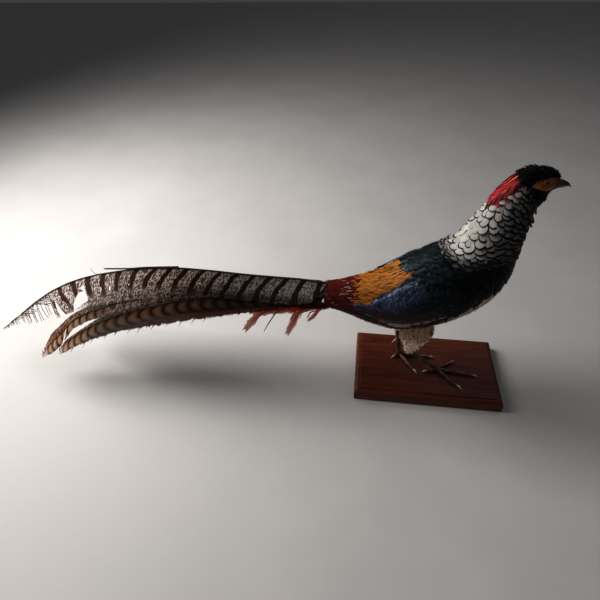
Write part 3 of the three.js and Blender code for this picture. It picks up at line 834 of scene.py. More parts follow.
@effect("Feather barbs", {"Colour": (1, 1, 1, 1), "Contrast": 0.4, "Shaft": 0.3},
        ("Colour", "Height", "Shaft"))
def feather_barbs(tree, colour, contrast, shaft):
    """Fine barbs that slant away from a shaft, for all the small feathers."""
    x, y = tree.uv("Vane")
    off = abs(x)
    fine = tree.noise(y - off * 1.3, 190.0, 2.0, 0.6)
    streak = fine * 0.65 + tree.noise(tree.place(), 130.0, 2.0, 0.6) * 0.35
    gain = (streak - 0.5).math("MULTIPLY_ADD", contrast * 3.4, 1.0).math("MAXIMUM", 0.25)
    line = tree.ramp(off, 0.006, 0.001) * shaft
    return tree.mix(line, tree.toned(colour, gain), (0.75, 0.7, 0.62)), streak, line


class Finish(Tree):
    """A material with a Principled BSDF whose constants are set on its own sockets."""

    def __init__(self, name, specular, **constants):
        self.material = bpy.data.materials.new(name)
        self.material.use_nodes = True
        super().__init__(self.material.node_tree)
        self.shader = self.tree.nodes["Principled BSDF"].inputs
        self.shader["Specular IOR Level"].default_value = specular
        for label, value in constants.items():
            self.shader[label.replace("_", " ")].default_value = value

    def done(self, colour, rough=None, bump=None):
        """Links the colour, a ramp for the roughness, and a bump of (height, strength, depth)."""
        self.put(self.shader["Base Color"], colour)
        if rough:
            self.put(self.shader["Roughness"], self.ramp(*rough))
        if bump:
            self.put(self.shader["Normal"],
                     self.add("Bump", dict(zip(("Height", "Strength", "Distance"), bump))))
        return self.material


def feather_material(name, contrast, shaft, roughness, bump=0.35, sheen=0.03, metallic=0.0, specular=0.15):
    """Feather vanes: their own marking colour with fine barbs."""
    look = Finish(name, specular, Sheen_Weight=sheen, Sheen_Roughness=0.45, Metallic=metallic)
    colour, height, _ = feather_barbs(look, look.marking(), contrast, shaft)
    return look.done(colour, (height, 0.3, 0.7, roughness - 0.1, roughness + 0.1), (height, bump, 0.0004))


# ---- the skin and coats

def green_front(angle):
    """The place where the gold of the rump ends and the green of the back begins."""
    return np.interp(np.abs(angle), [0, 20, 30, 36, 40, 46, 64, 74],
                     [4.45, 4.78, 4.97, 4.95, 4.3, 3.35, 3.1, 2.2])


def rump_reach(place):
    """How far down the flanks the gold of the rump goes, in degrees."""
    return np.interp(place, [1.9, 2.2, 3.1, 3.4, 4.3, 4.9, 5.2], [78, 73, 64, 46, 39, 35, 29])


def wing_top(place):
    """The upper edge of the blue wing, in degrees from the back."""
    return np.interp(place, [1.9, 2.2, 3.1, 3.4, 4.3, 4.8, 5.25, 5.65, 6.1],
                     [82, 74, 64, 47, 38, 35, 42, 54, 72])


def left_wing_rise(place):
    """How much higher on the back the left wing lies than the right one, in degrees."""
    return LEFT_WING_HIGHER * smooth_step(3.2, 4.0, place)


def belly_edge(place):
    """Where the white of the belly begins, in degrees from the back."""
    return np.interp(place, [0, 2.3, 3.1, 3.5, 4.0, 4.6, 5.0, 5.4, 6.0, 6.6, 7.1, 7.5],
                     [176, 128, 123, 129, 147, 143, 130, 122, 118, 118, 130, 181])


def cape_edge(angle):
    """The lower edge of the cape, as a place."""
    return np.interp(np.abs(angle), [0, 20, 38, 58, 70, 110, 135, 154, 180],
                     [6.5, 6.55, 6.75, 7.35, 7.7, 8.1, 8.35, 8.8, 9.0])


def cape_top(angle):
    """The upper edge of the cape, as a place."""
    return np.interp(np.abs(angle), [0, 30, 60, 75, 118, 150, 180],
                     [12.0, 12.1, 12.25, 12.3, 12.05, 11.95, 11.9])


def skin_marking(place, angle):
    """The colour of the plumage at each place, for the skin under it."""
    plumage = settings("plumage")
    off = np.abs(wrap_angle(angle))
    tint = np.broadcast_to(np.array(plumage.breast_black), np.shape(place) + (3,)).copy()
    rules = (
        ((place < green_front(off)) & (off < 46), plumage.mantle_green),
        (place < 7.4, plumage.breast_black),
        ((off > wing_top(place)) & (off < 116) & (place < 5.7), plumage.wing_blue),
        ((place > green_front(off)) & (off < 56) & (place < 7.5), plumage.mantle_green),
        ((off < rump_reach(place)) & (place < green_front(off)), plumage.rump_rust),
        (off > belly_edge(place), plumage.belly_brown), (place < 2.0, plumage.covert_dark),
        (place > cape_edge(off), tuple(0.4 * v for v in plumage.cape_white)),
        (tract_lift(CREST_TRACT, place, angle) > 2.5, plumage.crest_deep),
        (place > cape_top(off), plumage.crown_black),
    )
    for where, value in rules:
        tint[where] = value
    return tint


def coat_depth(place):
    """How far the skin lies under the outer form."""
    plumage = settings("plumage")
    body, face = in_mm(plumage.coat_depth), in_mm(plumage.face_depth)
    depth = body + (face - body) * smooth_step(11.6, 12.8, place)
    return depth * (0.6 + 0.4 * np.clip(place / 0.8, 0, 1))


def eye_folds(points):
    """Pushes the skin round each eye into a socket with two lids and fine folds."""
    for side in (1, -1):
        centre = np.array([EYE_CENTRE[0], side * EYE_CENTRE[1], EYE_CENTRE[2]])
        near = points[..., 1] * side > 4
        flat = pile(points[..., 0] - centre[0], (points[..., 2] - centre[2]) * 1.14)
        radius = np.linalg.norm(flat, axis=-1)
        lid_out = centre[1] + side * np.sqrt(np.clip((EYE_RADIUS + 0.55) ** 2 - radius**2, 1.0, None))
        inner = smooth_step(4.2, 3.2, radius)
        lid = smooth_step(3.2, 4.0, radius) * smooth_step(6.4, 5.0, radius)
        socket = smooth_step(9.5, 6.2, radius) * smooth_step(5.0, 6.2, radius)
        turn = np.arctan2(flat[..., 1], flat[..., 0])
        folds = 0.16 * np.sin(radius * 3.4 + 0.6 * np.sin(3 * turn)) * smooth_step(13, 8, radius)
        folds = folds * smooth_step(5.0, 6.0, radius)
        y = points[..., 1]
        target = y + side * (folds - 0.75 * socket)
        target = target * (1 - lid) + lid_out * lid
        target = target * (1 - inner) + (centre[1] - side * 1.5) * inner
        points[..., 1] = np.where(near, target, y)
    return points


def skin_rings():
    """The skin of the body and head, as rings of points in millimetres with their places."""
    places = np.concatenate([np.linspace(0, 11.5, 150, endpoint=False), np.linspace(11.5, BODY_END, 190)])
    angles = np.linspace(-180, 180, 180, endpoint=False)
    place, angle = np.meshgrid(places, angles, indexing="ij")
    point, normal, _, _ = surface_frame(outer_form, place, angle)
    skin = point - normal * coat_depth(place)[..., None]
    face = inside_outline(point[..., 0], point[..., 2], FACE_OUTLINE) & (place > 11.8)
    skin = np.where(face[..., None], point - normal * 0.25, skin)
    return eye_folds(skin), place, angle, face


def leg_line(side, share):
    leg = LEGS[side]
    hock = np.array(leg["hock"], float)
    ankle = np.array([*leg["foot"], FOOT_LEVEL + 6])
    return hock + (ankle - hock) * np.asarray(share, float)[..., None]


def shank_rings(side):
    """The bare shank, with a row of broad scutes down its front."""
    share = np.linspace(-0.12, 1.0, 110)
    centres = leg_line(side, share)
    radius = np.interp(share, [-0.12, 0.02, 0.3, 0.7, 1.0], [5.2, 5.4, 3.9, 3.7, 4.7])
    run = np.linalg.norm(centres - centres[0], axis=1)
    turn = full_turn(28)
    front = np.clip(np.cos(turn), 0, 1) ** 0.5
    scutes = ((run / 4.2) % 1.0)[:, None]
    lip = np.where(scutes > 0.8, 1 - (scutes - 0.8) / 0.2, scutes / 0.8)
    small = 0.10 * np.sin(run[:, None] * 3.1) * np.sin(turn * 7)
    rings = tube(centres, radius[:, None] * 0.96 + 0.34 * lip * front + small * (1 - front), 28,
                 upright=(1, 0, 0.3))
    return rings


def toe_line(leg, name):
    """Points along a toe from the middle of the foot, the place of its claw and its way."""
    tip = leg["toes"][name]
    start = np.array([*leg["foot"]], float)
    way = np.array(tip) - start
    reach = np.linalg.norm(way)
    way = way / reach
    claw = CLAW_LENGTH * (0.9 if name == "hind" else 1.0)
    end = reach - claw
    arch = 8 if name == "hind" else 4.6

    def at(distance, height):
        return np.array([*(start + way * distance), FOOT_LEVEL + height])

    line = [at(0, 5), at(end * 0.3, arch), at(end * 0.65, 3.4), at(end, 3)]
    return line, at, end, reach, claw


def toe_rings(side, name):
    """A toe with scutes on top and pads under its joints."""
    line, _, end, _, _ = toe_line(LEGS[side], name)
    centres = smooth_line(line, 70)
    share = np.linspace(0, 1, 70)
    radius = np.interp(share, [0, 0.33, 0.67, 1],
                       [TOE_RADIUS + 0.6, TOE_RADIUS, TOE_RADIUS - 0.5, TOE_RADIUS - 1])
    turn = full_turn(20)
    top = np.clip(np.cos(turn), 0, 1)
    run = share * end
    scutes = ((run / 3.0) % 1.0)[:, None]
    lip = np.where(scutes > 0.78, 1 - (scutes - 0.78) / 0.22, scutes / 0.78)
    pads = 0.35 * np.cos(run[:, None] / end * 2 * np.pi * (2 if name == "hind" else 3)) * (1 - top)
    radius = radius[:, None] * 0.93 + 0.28 * lip * top - 0.25 * (1 - top) + pads
    radius[-1] *= 0.7
    return tube(centres, radius, 20, flat_below=FOOT_LEVEL)


def unite(main, others):
    """Joins closed meshes into the first one with no faces left inside."""
    for other in others:
        union = main.modifiers.new("Join", "BOOLEAN")
        union.operation = "UNION"
        union.solver = "MANIFOLD"
        union.object = other
        kept = bpy.data.meshes.new_from_object(main.evaluated_get(bpy.context.evaluated_depsgraph_get()))
        main.modifiers.remove(union)
        main.data = kept
        bpy.data.objects.remove(other)
    return main


def skin_material():
    """Dry skin and quill roots between the feathers, in the colours of the coat."""
    look = Finish("Skin under feathers", 0.2)
    grain = look.noise(look.place(), 420.0, 3.0)
    return look.done(look.toned(look.marking(), look.ramp(grain, 0.3, 0.7, 0.55, 1.25)),
                     (grain, 0.2, 0.8, 0.7, 0.9), (grain, 0.5, 0.0006))


def face_material():
    """Bare skin with small warts and folds, darker towards the bill."""
    head = settings("head")
    look = Finish("Bare face", 0.4, Sheen_Weight=0.1)
    warts = look.cells(900.0)
    broad = look.noise(look.place(), 160.0, 3.0, 0.6)
    share = warts.math("MULTIPLY_ADD", 0.9, broad * 0.9)
    forward = look.split(look.place())[0]

    def between(first, last, strength):
        ends = to_row([(first, 0, 420), (last, 0, 420)])[:, 0]
        return look.ramp(forward, *ends, 0.0, strength)

    front = between(116, 126, 0.55)
    lores = between(127, 137, 0.95).math("MAXIMUM", front)
    ground = look.mix(between(112, 103, 0.9), head.face_skin, head.face_tan)
    dark = look.ramp(share, 0.75, 1.25).math("MAXIMUM", lores)
    return look.done(look.mix(dark, ground, head.face_dark), (broad, 0.3, 0.7, 0.45, 0.7),
                     (warts, 0.6, 0.0005))


def leg_material():
    """Dry scaled skin of the shanks and toes, worn pale along the scale edges."""
    head = settings("head")
    look = Finish("Leg scales", 0.45)
    scale = look.cells(620.0, feature="DISTANCE_TO_EDGE")
    broad = look.noise(look.place(), 90.0, 3.0, 0.65)
    ground = look.mix(look.ramp(broad, 0.42, 0.68) * 0.75, head.leg_brown, head.leg_pale)
    return look.done(look.mix(look.ramp(scale, 0.10, 0.02) * 0.6, ground, (0.03, 0.018, 0.012)),
                     (broad, 0.3, 0.7, 0.42, 0.68), (scale, 0.7, 0.0005))


def build_skin():
    """One skin over the body, head, thighs, shanks and toes."""
    plumage = settings("plumage")
    rings, place, angle, face = skin_rings()
    body = closed_object("bird_skin", *ended(rings))
    sources = [(to_row(rings), skin_marking(place, angle).reshape(-1, 3), np.where(face, 1, 0).ravel())]
    limbs = []
    turn = full_turn(64)
    for side, _ in SIDES:
        rows = LEGS[side]["thigh"].copy()
        rows[:, 3:] = np.maximum(rows[:, 3:] - 0.8 * in_mm(plumage.coat_depth), 3.5)
        fine = read_rows(rows, np.linspace(0, len(rows) - 1, 50))[:, None]
        thigh = pile(fine[..., 0] + fine[..., 3] * np.cos(turn), fine[..., 1] + fine[..., 4] * np.sin(turn),
                          np.repeat(fine[..., 2], 64, axis=1))
        limbs += [(thigh, 0), (shank_rings(side), 2)]
        limbs += [(toe_rings(side, name), 2) for name in LEGS[side]["toes"]]
    for points, slot in limbs:
        count = points.shape[0] * points.shape[1]
        sources.append((to_row(points), np.tile(plumage.thigh_tan, (count, 1)), np.full(count, slot)))
    unite(body, [closed_object("limb", *ended(points)) for points, _ in limbs])
    body.data.materials.clear()
    mark_skin(body.data, *(np.concatenate(values) for values in zip(*sources)))
    body.data.shade_smooth()
    finish_piece(body, [skin_material(), face_material(), leg_material()], (
        "tail_coverts", "rump", "trunk", "neck", "head",
        "thigh_right", "thigh_left", "foot_right", "foot_left",
    ))


def ended(rings):
    """Rings of millimetre points with both ends drawn in, as a list with its rows and columns."""
    rings = closed_rings(rings)
    return to_row(rings), *rings.shape[:2]


def mark_skin(mesh, points, tints, slots):
    """Colours the joined skin from the nearest point of the forms it was joined from."""
    tree = kdtree.KDTree(len(points))
    for index, point in enumerate(points):
        tree.insert(point, index)
    tree.balance()
    nearest = np.array([tree.find(vertex.co)[1] for vertex in mesh.vertices])
    mark_points(mesh, tints[nearest])
    chosen = slots[nearest]
    for polygon in mesh.polygons:
        polygon.material_index = int(np.max(chosen[list(polygon.vertices)]))


# ---- the head's coat

def both_sides(roots):
    """The same roots on both sides of the bird."""
    place, angle = roots
    return np.tile(place, 2), np.concatenate([-angle, angle])


def start(seed):
    """Seeded chance and the plumage settings, for one coat."""
    return np.random.default_rng(seed), settings("plumage")


def lay_coat(name, slot, material, *vanes, replaced=(), **sizes):
    """Lays vanes as one piece."""
    make_coat(name, lay_vanes(*vanes, **sizes), material, replaced)


def build_crown():
    """The black cap: short feathers, a little ruffled."""
    rng, plumage = start(11)
    place, angle = staggered_roots(outer_form, (12.5, 16.1), (-85, 85), 1.5, 1.9, rng, 0.4)
    s, _, z = outer_form(place, angle).T
    keep = ~inside_outline(s, z, FACE_OUTLINE) & ((np.abs(angle) < 60) | (place > 13.6))
    keep &= (z > 421 - 0.06 * (s - 98)) & ~((place > 15.6) & (np.abs(angle) > 40))
    place, angle, count = chosen(keep, place, angle)
    black = shade(plumage.crown_black, rng, 0.5, count)
    size = np.interp(place, [12.5, 13.2, 14.5, 16], [9.5, 8.5, 6, 3.6])
    lay_coat("crown_feathers", "head_plumage",
             feather_material("Crown feathers", 0.5, 0.0, 0.42, sheen=0.01, specular=0.25), outer_form, rng,
             dict(rows=6, columns=3, flare=0.14, ragged=0.25, roll=12, flutter=0.8, tip=0.25), place, angle,
             vary(rng, size, count, 0.25), vary(rng, size * 0.34, count, 0.2), rng.normal(0, 16, count), 0.9,
             rise=rng.uniform(-0.3, 1.2, count), colour=black,
             rim=blend_colours(black, plumage.mantle_green, 0.1))


def build_throat():
    """The short blue-black feathers of the throat, cheeks and chin."""
    rng, plumage = start(12)
    form = form_under_crest
    place, angle = both_sides(staggered_roots(form, (11.5, 16.1), (50, 180), 1.6, 2.1, rng, 0.35, 110))
    s, _, z = form(place, angle).T
    keep = ~inside_outline(s, z, FACE_OUTLINE) & ((z < 418) | (place < 12.6))
    keep &= place > np.interp(np.abs(angle), [50, 75, 118, 150, 180], [12.45, 12.35, 12.1, 12.05, 12.0])
    place, angle, count = chosen(keep, place, angle)
    black = shade(plumage.throat_blue, rng, 0.5, count)
    size = np.interp(place, [11.5, 12.5, 14, 16], [9, 8, 6.4, 4.2])
    chin = smooth_step(12.6, 13.4, place) * smooth_step(16, 15, place) * smooth_step(100, 135, np.abs(angle))
    lay_coat("throat_feathers", "head_plumage",
             feather_material("Throat feathers", 0.5, 0.0, 0.45, sheen=0.01, specular=0.22), form, rng,
             dict(rows=6, columns=3, flare=0.12, ragged=0.2, roll=9, flutter=0.6, tip=0.25), place, angle,
             vary(rng, size, count, 0.2), vary(rng, size * 0.42, count, 0.2),
             10 * np.sign(angle) + rng.normal(0, 12, count), 0.9, black,
             rise=rng.uniform(-0.2, 0.8, count) + rng.uniform(0, 1.2, count) * chin)


def build_crest():
    """The red crest: long hair-like feathers that fall from the crown over the nape."""
    rng, plumage = start(13)
    count = plumage.crest_count
    place = rng.uniform(10.95, 12.95, count)
    angle = rng.uniform(-1, 1, count) * np.interp(place, [10.95, 11.3, 12, 12.95], [20, 32, 48, 42])
    off = np.abs(angle)
    long = in_mm(plumage.crest_length) * np.interp(place, [10.95, 11.5, 12.95], [0.40, 0.66, 1.0])
    long = long * np.interp(off, [24, 50], [1.0, 0.5])
    chance = rng.random(count)
    # Some strands are dark at random; that more are dark towards the crest's sides is painted shade.
    deep = np.where(chance < np.interp(off, [10, 24, 40], [0.25, 0.5, 0.97]), 0.9, 0.0)
    red = blend_colours(plumage.crest_red, plumage.crest_deep, deep)
    red[(chance > np.interp(off, [10, 34], [0.62, 1.0])) & (place > 12.1)] = plumage.crest_bright
    red = shade(red, rng, 0.35, count)
    layer = rng.uniform(0, 1, count)
    lay_coat("crest_strands", "red_plumage",
             feather_material("Crest strands", 0.5, 0.0, 0.42, sheen=0.0, specular=0.15), outer_form, rng,
             dict(rows=11, columns=3, steps=10, sweep=0.5, widest=0.25, squareness=1.3, root=0.6, camber=0.2,
                  roll=24, flutter=0.8, edge_side=2.0, edge_tip=0.7), place, angle,
             vary(rng, long, count, 0.2), vary(rng, 1.25, count, 0.35),
             angle * 0.22 + rng.normal(0, 3.5, count), 2.5 - 1.8 * layer, red,
             # Painted glints on the tips of some strands.
             blend_colours(red, plumage.crest_glint, np.where(chance > 0.82, 0.9, 0.0)),
             rise=-1.8 * layer, replaced=("crest",))


# ---- the cape

def cape_share(place, angle):
    """0 at the lower edge of the cape and 1 at its top."""
    return (place - cape_edge(angle)) / (cape_top(angle) - cape_edge(angle))


def cape_turn(form, place, angle):
    """The way a cape feather points: straight across the rows of the cape."""
    step, turn = 0.05, 2.0
    _, _, size_place, size_angle = surface_frame(form, place, angle)
    rise_place = cape_share(place + step, angle) - cape_share(place - step, angle)
    rise_place = rise_place / (2 * step) / size_place
    rise_angle = cape_share(place, angle + turn) - cape_share(place, angle - turn)
    rise_angle = rise_angle / (2 * turn) / size_angle
    return np.degrees(np.arctan2(-rise_angle, rise_place))


def cape_roots(rng):
    """Rows that run parallel to the cape's lower edge, closer together towards the top."""
    plumage = settings("plumage")
    row_gap = in_mm(plumage.cape_row)
    fine = np.linspace(-180, 180, 721)[:-1]
    share, odd = 0.0, 0
    found = []
    while share < 1.0:
        place = cape_edge(fine) + share * (cape_top(fine) - cape_edge(fine))
        _, _, size_place, size_angle = surface_frame(form_under_crest, place, fine)
        gap = row_gap * np.interp(share, [0, 0.1, 0.2, 0.4, 1], [0.62, 0.75, 1.0, 0.92, 0.62])
        wide = gap * np.interp(share, [0, 0.4, 1], [1.5, 1.35, 1.2])
        slant = np.gradient(place, fine) * size_place
        run = np.concatenate([[0], np.cumsum(np.hypot(size_angle, slant)[:-1] * 0.5)])
        count = int(run[-1] / wide)
        spots = (np.arange(count) + 0.5 * odd + rng.uniform(-0.16, 0.16, count)) / count * run[-1]
        angle = np.interp(spots % run[-1], run, fine)
        here = np.interp(angle, fine, place)
        found.append(np.stack([here, angle, np.full(count, gap), np.full(count, wide)], axis=1))
        side = size_place[np.argmin(np.abs(fine + 75))]
        span = (cape_top(-75) - cape_edge(-75)) * side
        share += gap / span
        odd = 1 - odd
    found = np.concatenate(found)
    found[:, 0] += rng.normal(0, 0.018, len(found))
    return found


def build_cape():
    """The cape: white feathers with painted shade and blue-black borders. Borders are a piece of their own.
    """
    rng, plumage = start(21)
    form = form_under_crest
    place, angle, gap, wide = cape_roots(rng).T
    count = len(place)
    turn = 0.75 * cape_turn(form, place, angle) + rng.normal(0, 5, count)
    off = np.abs(angle)
    share = cape_share(place, angle)
    plain = smooth_step(0.62, 0.50, share) * smooth_step(0.26, 0.36, share) * smooth_step(24, 8, off)
    border = in_mm(plumage.cape_border) * np.interp(share, [0, 0.3, 0.6, 1], [1.25, 1.35, 1.05, 0.85])
    border = vary(rng, border * np.interp(off, [0, 30, 60, 100], [0.6, 0.85, 1.15, 1.35]), count, 0.22)
    ruffled = smooth_step(9.5, 10.2, place) * smooth_step(12.0, 11.4, place) * smooth_step(88, 125, off)
    lift = rng.uniform(0.0, 1.0, count) ** 2 * (1.2 + 4.5 * ruffled)

    # Feathers are set back by what shows of them, so that the last row ends at the edge.
    _, _, size_place, _ = surface_frame(form, place, angle)
    place = place + gap * 1.05 / size_place
    # Painted shade: the whites are darkened down the bird's right side and front, less on its left side.
    near = np.interp(angle, [-130, -90, -62, -42, -22, 20, 60, 130],
                     [0.22, 0.24, 0.28, 0.44, 0.78, 0.9, 0.75, 0.4])
    white = shade(plumage.cape_white, rng, 0.2, count) * near[:, None]
    white = white * np.interp(share, [0, 0.10, 0.2], [0.35, 0.6, 1.0])[:, None]
    # A random warm tint, plus painted shade as a warmer, darker tone towards the front of the neck.
    warm_tint_and_shade = np.clip(rng.random(count) ** 2 * 0.35 + 0.6 * smooth_step(60, 120, off), 0, 1)
    white = blend_colours(white, white * np.array([1.0, 0.84, 0.70]), warm_tint_and_shade)
    rows, columns = 11, 7
    part = lay_vanes(
        form, rng, dict(rows=rows, columns=columns, widest=0.5, squareness=2.1, tip=0.10, camber=0.11,
                        roll=3.2, flutter=0.45, flare=0.012, side_border=0.6, edge_side=2.0, edge_tip=0.42),
        place, angle, vary(rng, gap * 2.1, count, 0.12),
        vary(rng, wide * np.interp(off, [25, 60], [1.42, 1.75]), count, 0.12),
        turn, 2.6, white * 0.5, white, rng.uniform(-0.1, 0.5, count), lift, border)
    row, column = np.divmod(np.arange((rows - 1) * (columns - 1)), columns - 1)
    rim = np.tile((row >= rows - 3) | (column == 0) | (column == columns - 2), (count, 1))
    rim &= ~((plain > rng.random(count) * 0.8 + 0.1)[:, None])
    rim = rim.ravel()
    dark = take_faces(part, rim)
    dark["tint"] = np.tile(plumage.cape_dark, (len(dark["points"]), 1))
    make_coat("cape_vanes", take_faces(part, ~rim),
              feather_material("Cape white", 0.42, 0.12, 0.62, bump=0.5), ("cape",))
    make_coat("cape_borders", dark,
              feather_material("Cape borders", 0.45, 0.0, 0.45, bump=0.3, sheen=0.01, specular=0.2))


# ---- back and breast

def build_mantle():
    """The scaly green back between the cape and the rump."""
    rng, plumage = start(31)
    place, angle = staggered_roots(outer_form, (4.2, 8.2), (-72, 72), 7.2, 9.2, rng, 0.18, -25)
    keep = (place > green_front(angle) + 0.1) & (place < cape_edge(angle) + 0.55)
    keep &= np.abs(angle) < np.interp(place, [4.8, 5.3, 5.8, 8.2], [40, 44, 56, 70])
    keep &= (angle < 42 - left_wing_rise(place)) | (place > 5.6)
    place, angle, count = chosen(keep, place, angle)
    green = shade(plumage.mantle_green, rng, 0.5, count)
    green = blend_colours(green, plumage.wing_blue, rng.random(count) * 0.45)
    lay_coat("mantle_feathers", "green_black_plumage",
             feather_material("Mantle green", 0.4, 0.0, 0.36, sheen=0.01, metallic=0.2, specular=0.2),
             outer_form,
             rng, dict(rows=9, columns=7, squareness=2.5, tip=0.3, edge_tip=0.8, edge_side=0.7, camber=0.11,
                       crowding=0.7), place, angle, vary(rng, 17.0, count), vary(rng, 13.5, count),
             6 * np.sign(angle) + rng.normal(0, 5, count), 2.6, green, plumage.mantle_edge)


def build_breast():
    """The green-black breast and shoulders, from the cape to the belly."""
    rng, plumage = start(32)
    place, angle = both_sides(staggered_roots(outer_form, (4.5, 9.9), (40, 180), 8.2, 9.6, rng, 0.28, 110))
    off = np.abs(angle)
    keep = (place < cape_edge(angle) + 0.55) & (off < belly_edge(place) + 3)
    keep &= ((place > 5.45) | (off > 108)) & ((off > 54) | (place > 7.0))
    place, angle, off, count = chosen(keep, place, angle, off)
    black = shade(plumage.breast_black, rng, 0.5, count)
    black = blend_colours(black, plumage.mantle_green,
                          rng.random(count) ** 2 * smooth_step(100, 60, off) * 0.7)
    lay_coat("breast_feathers", "green_black_plumage",
             feather_material("Breast black", 0.45, 0.0, 0.42, sheen=0.01, metallic=0.1, specular=0.14),
             outer_form, rng, dict(ragged=0.05, roll=3), place, angle, vary(rng, 18.0, count),
             vary(rng, 13.0, count), 5 * np.sign(angle) + rng.normal(0, 7, count), 2.6, black, black * 0.55)


def build_belly():
    """The pale belly and vent, and the brown flank under the wing."""
    rng, plumage = start(33)
    place, angle = both_sides(staggered_roots(outer_form, (1.7, 7.4), (100, 180), 6.4, 7.4, rng, 0.35, 150))
    off = np.abs(angle)
    keep = off > np.minimum(belly_edge(place),
                            np.interp(place, [2, 2.6, 5.4, 5.6, 7.4], [118, 108, 108, 125, 181]))
    place, angle, off, count = chosen(keep, place, angle, off)
    white = smooth_step(-4, 7, off - belly_edge(place) + rng.normal(0, 3, count))
    colours = shade(blend_colours(plumage.belly_brown, plumage.belly_white, white), rng, 0.25, count)
    lay_coat("belly_feathers", "pale_down", feather_material("Belly down", 0.3, 0.0, 0.75, sheen=0.1),
             outer_form, rng, dict(ragged=0.2, squareness=1.6, flutter=0.35, roll=6), place, angle,
             vary(rng, 17.0, count, 0.2), vary(rng, 6.5, count, 0.2), rng.normal(0, 8, count), 2.6, colours,
             blend_colours(colours, plumage.belly_white, 0.04 + 0.22 * white))


def build_rump():
    """The golden rump: narrow hair-like feathers with a few dark marks."""
    rng, plumage = start(34)
    place, angle = staggered_roots(outer_form, (2.42, 5.3), (-84, 84), 3.0, 3.4, rng, 0.45, -30)
    keep = (place < green_front(angle) + 0.14) & (np.abs(angle) < rump_reach(place))
    keep &= angle < rump_reach(place) - left_wing_rise(place)
    place, angle, count = chosen(keep, place, angle)
    # Dark marks lie in a few loose groups.
    groups = ((4.5, -12), (4.1, 2), (3.6, -24), (3.55, -12), (3.0, -44), (2.75, -47), (3.9, -33), (3.3, 22))
    near = np.min([np.hypot((place - p) / 0.16, (angle - a) / 4.5) for p, a in groups], axis=0)
    dark = (near < 1) & (rng.random(count) < 0.6)
    rust = np.maximum(rng.random(count) ** 1.6 * 0.75, smooth_step(2.62, 2.42, place) * 0.9)
    rust = np.maximum(rust, smooth_step(0.8, 1.0, np.abs(angle) / rump_reach(place)) * 0.8)
    gold = shade(blend_colours(plumage.rump_gold, plumage.rump_rust, rust), rng, 0.2, count)
    gold[dark] = plumage.rump_fleck
    lay_coat("rump_feathers", "golden_plumage", feather_material("Rump gold", 0.45, 0.0, 0.5, sheen=0.05),
             outer_form, rng,
             dict(columns=3, ragged=0.12, squareness=1.4, roll=12, flutter=0.3, edge_side=2),
             place, angle, vary(rng, 17.0, count, 0.25), vary(rng, 3.2, count, 0.3),
             6 * np.sign(angle) + rng.normal(0, 9, count), 2.6, gold,
             blend_colours(gold, plumage.rump_gold, 0.3), rng.uniform(-0.5, 0.4, count))


def build_coverts():
    """The red tail coverts, with pale flecks and a pale ragged rear edge."""
    rng, plumage = start(35)
    place, angle = staggered_roots(outer_form, (0.7, 2.5), (-180, 180), 3.2, 3.8, rng, 0.4)
    off = np.abs(angle)
    count = len(place)
    red = blend_colours(plumage.covert_red, plumage.covert_dark, smooth_step(70, 135, off))
    pale = (np.abs(place - 1.9) < 0.3) & (np.abs(off - 32) < 26) & (rng.random(count) < 0.35)
    pale |= (place < 0.85) & (off < 70) & (rng.random(count) < 0.3)
    pale |= rng.random(count) < 0.04
    vent = (off > belly_edge(np.maximum(place, 2.35)) - 8) & (rng.random(count) < 0.5)
    red = shade(red, rng, 0.35, count)
    rim = red.copy()
    rim[pale | vent] = plumage.covert_fleck
    red[vent] = blend_colours(red[vent], plumage.covert_fleck, 0.4)
    lay_coat("covert_feathers", "red_plumage", feather_material("Covert red", 0.45, 0.0, 0.5), outer_form,
             rng,
             dict(columns=3, ragged=0.15, squareness=1.6, roll=9, flutter=0.3, edge_side=2, edge_tip=0.90),
             place, angle, vary(rng, 13.0, count, 0.2), vary(rng, np.where(pale, 2.2, 4.6), count, 0.25),
             rng.normal(0, 7, count), 2.4, red, rim, rng.uniform(-0.3, 0.3, count))


# ---- the wings

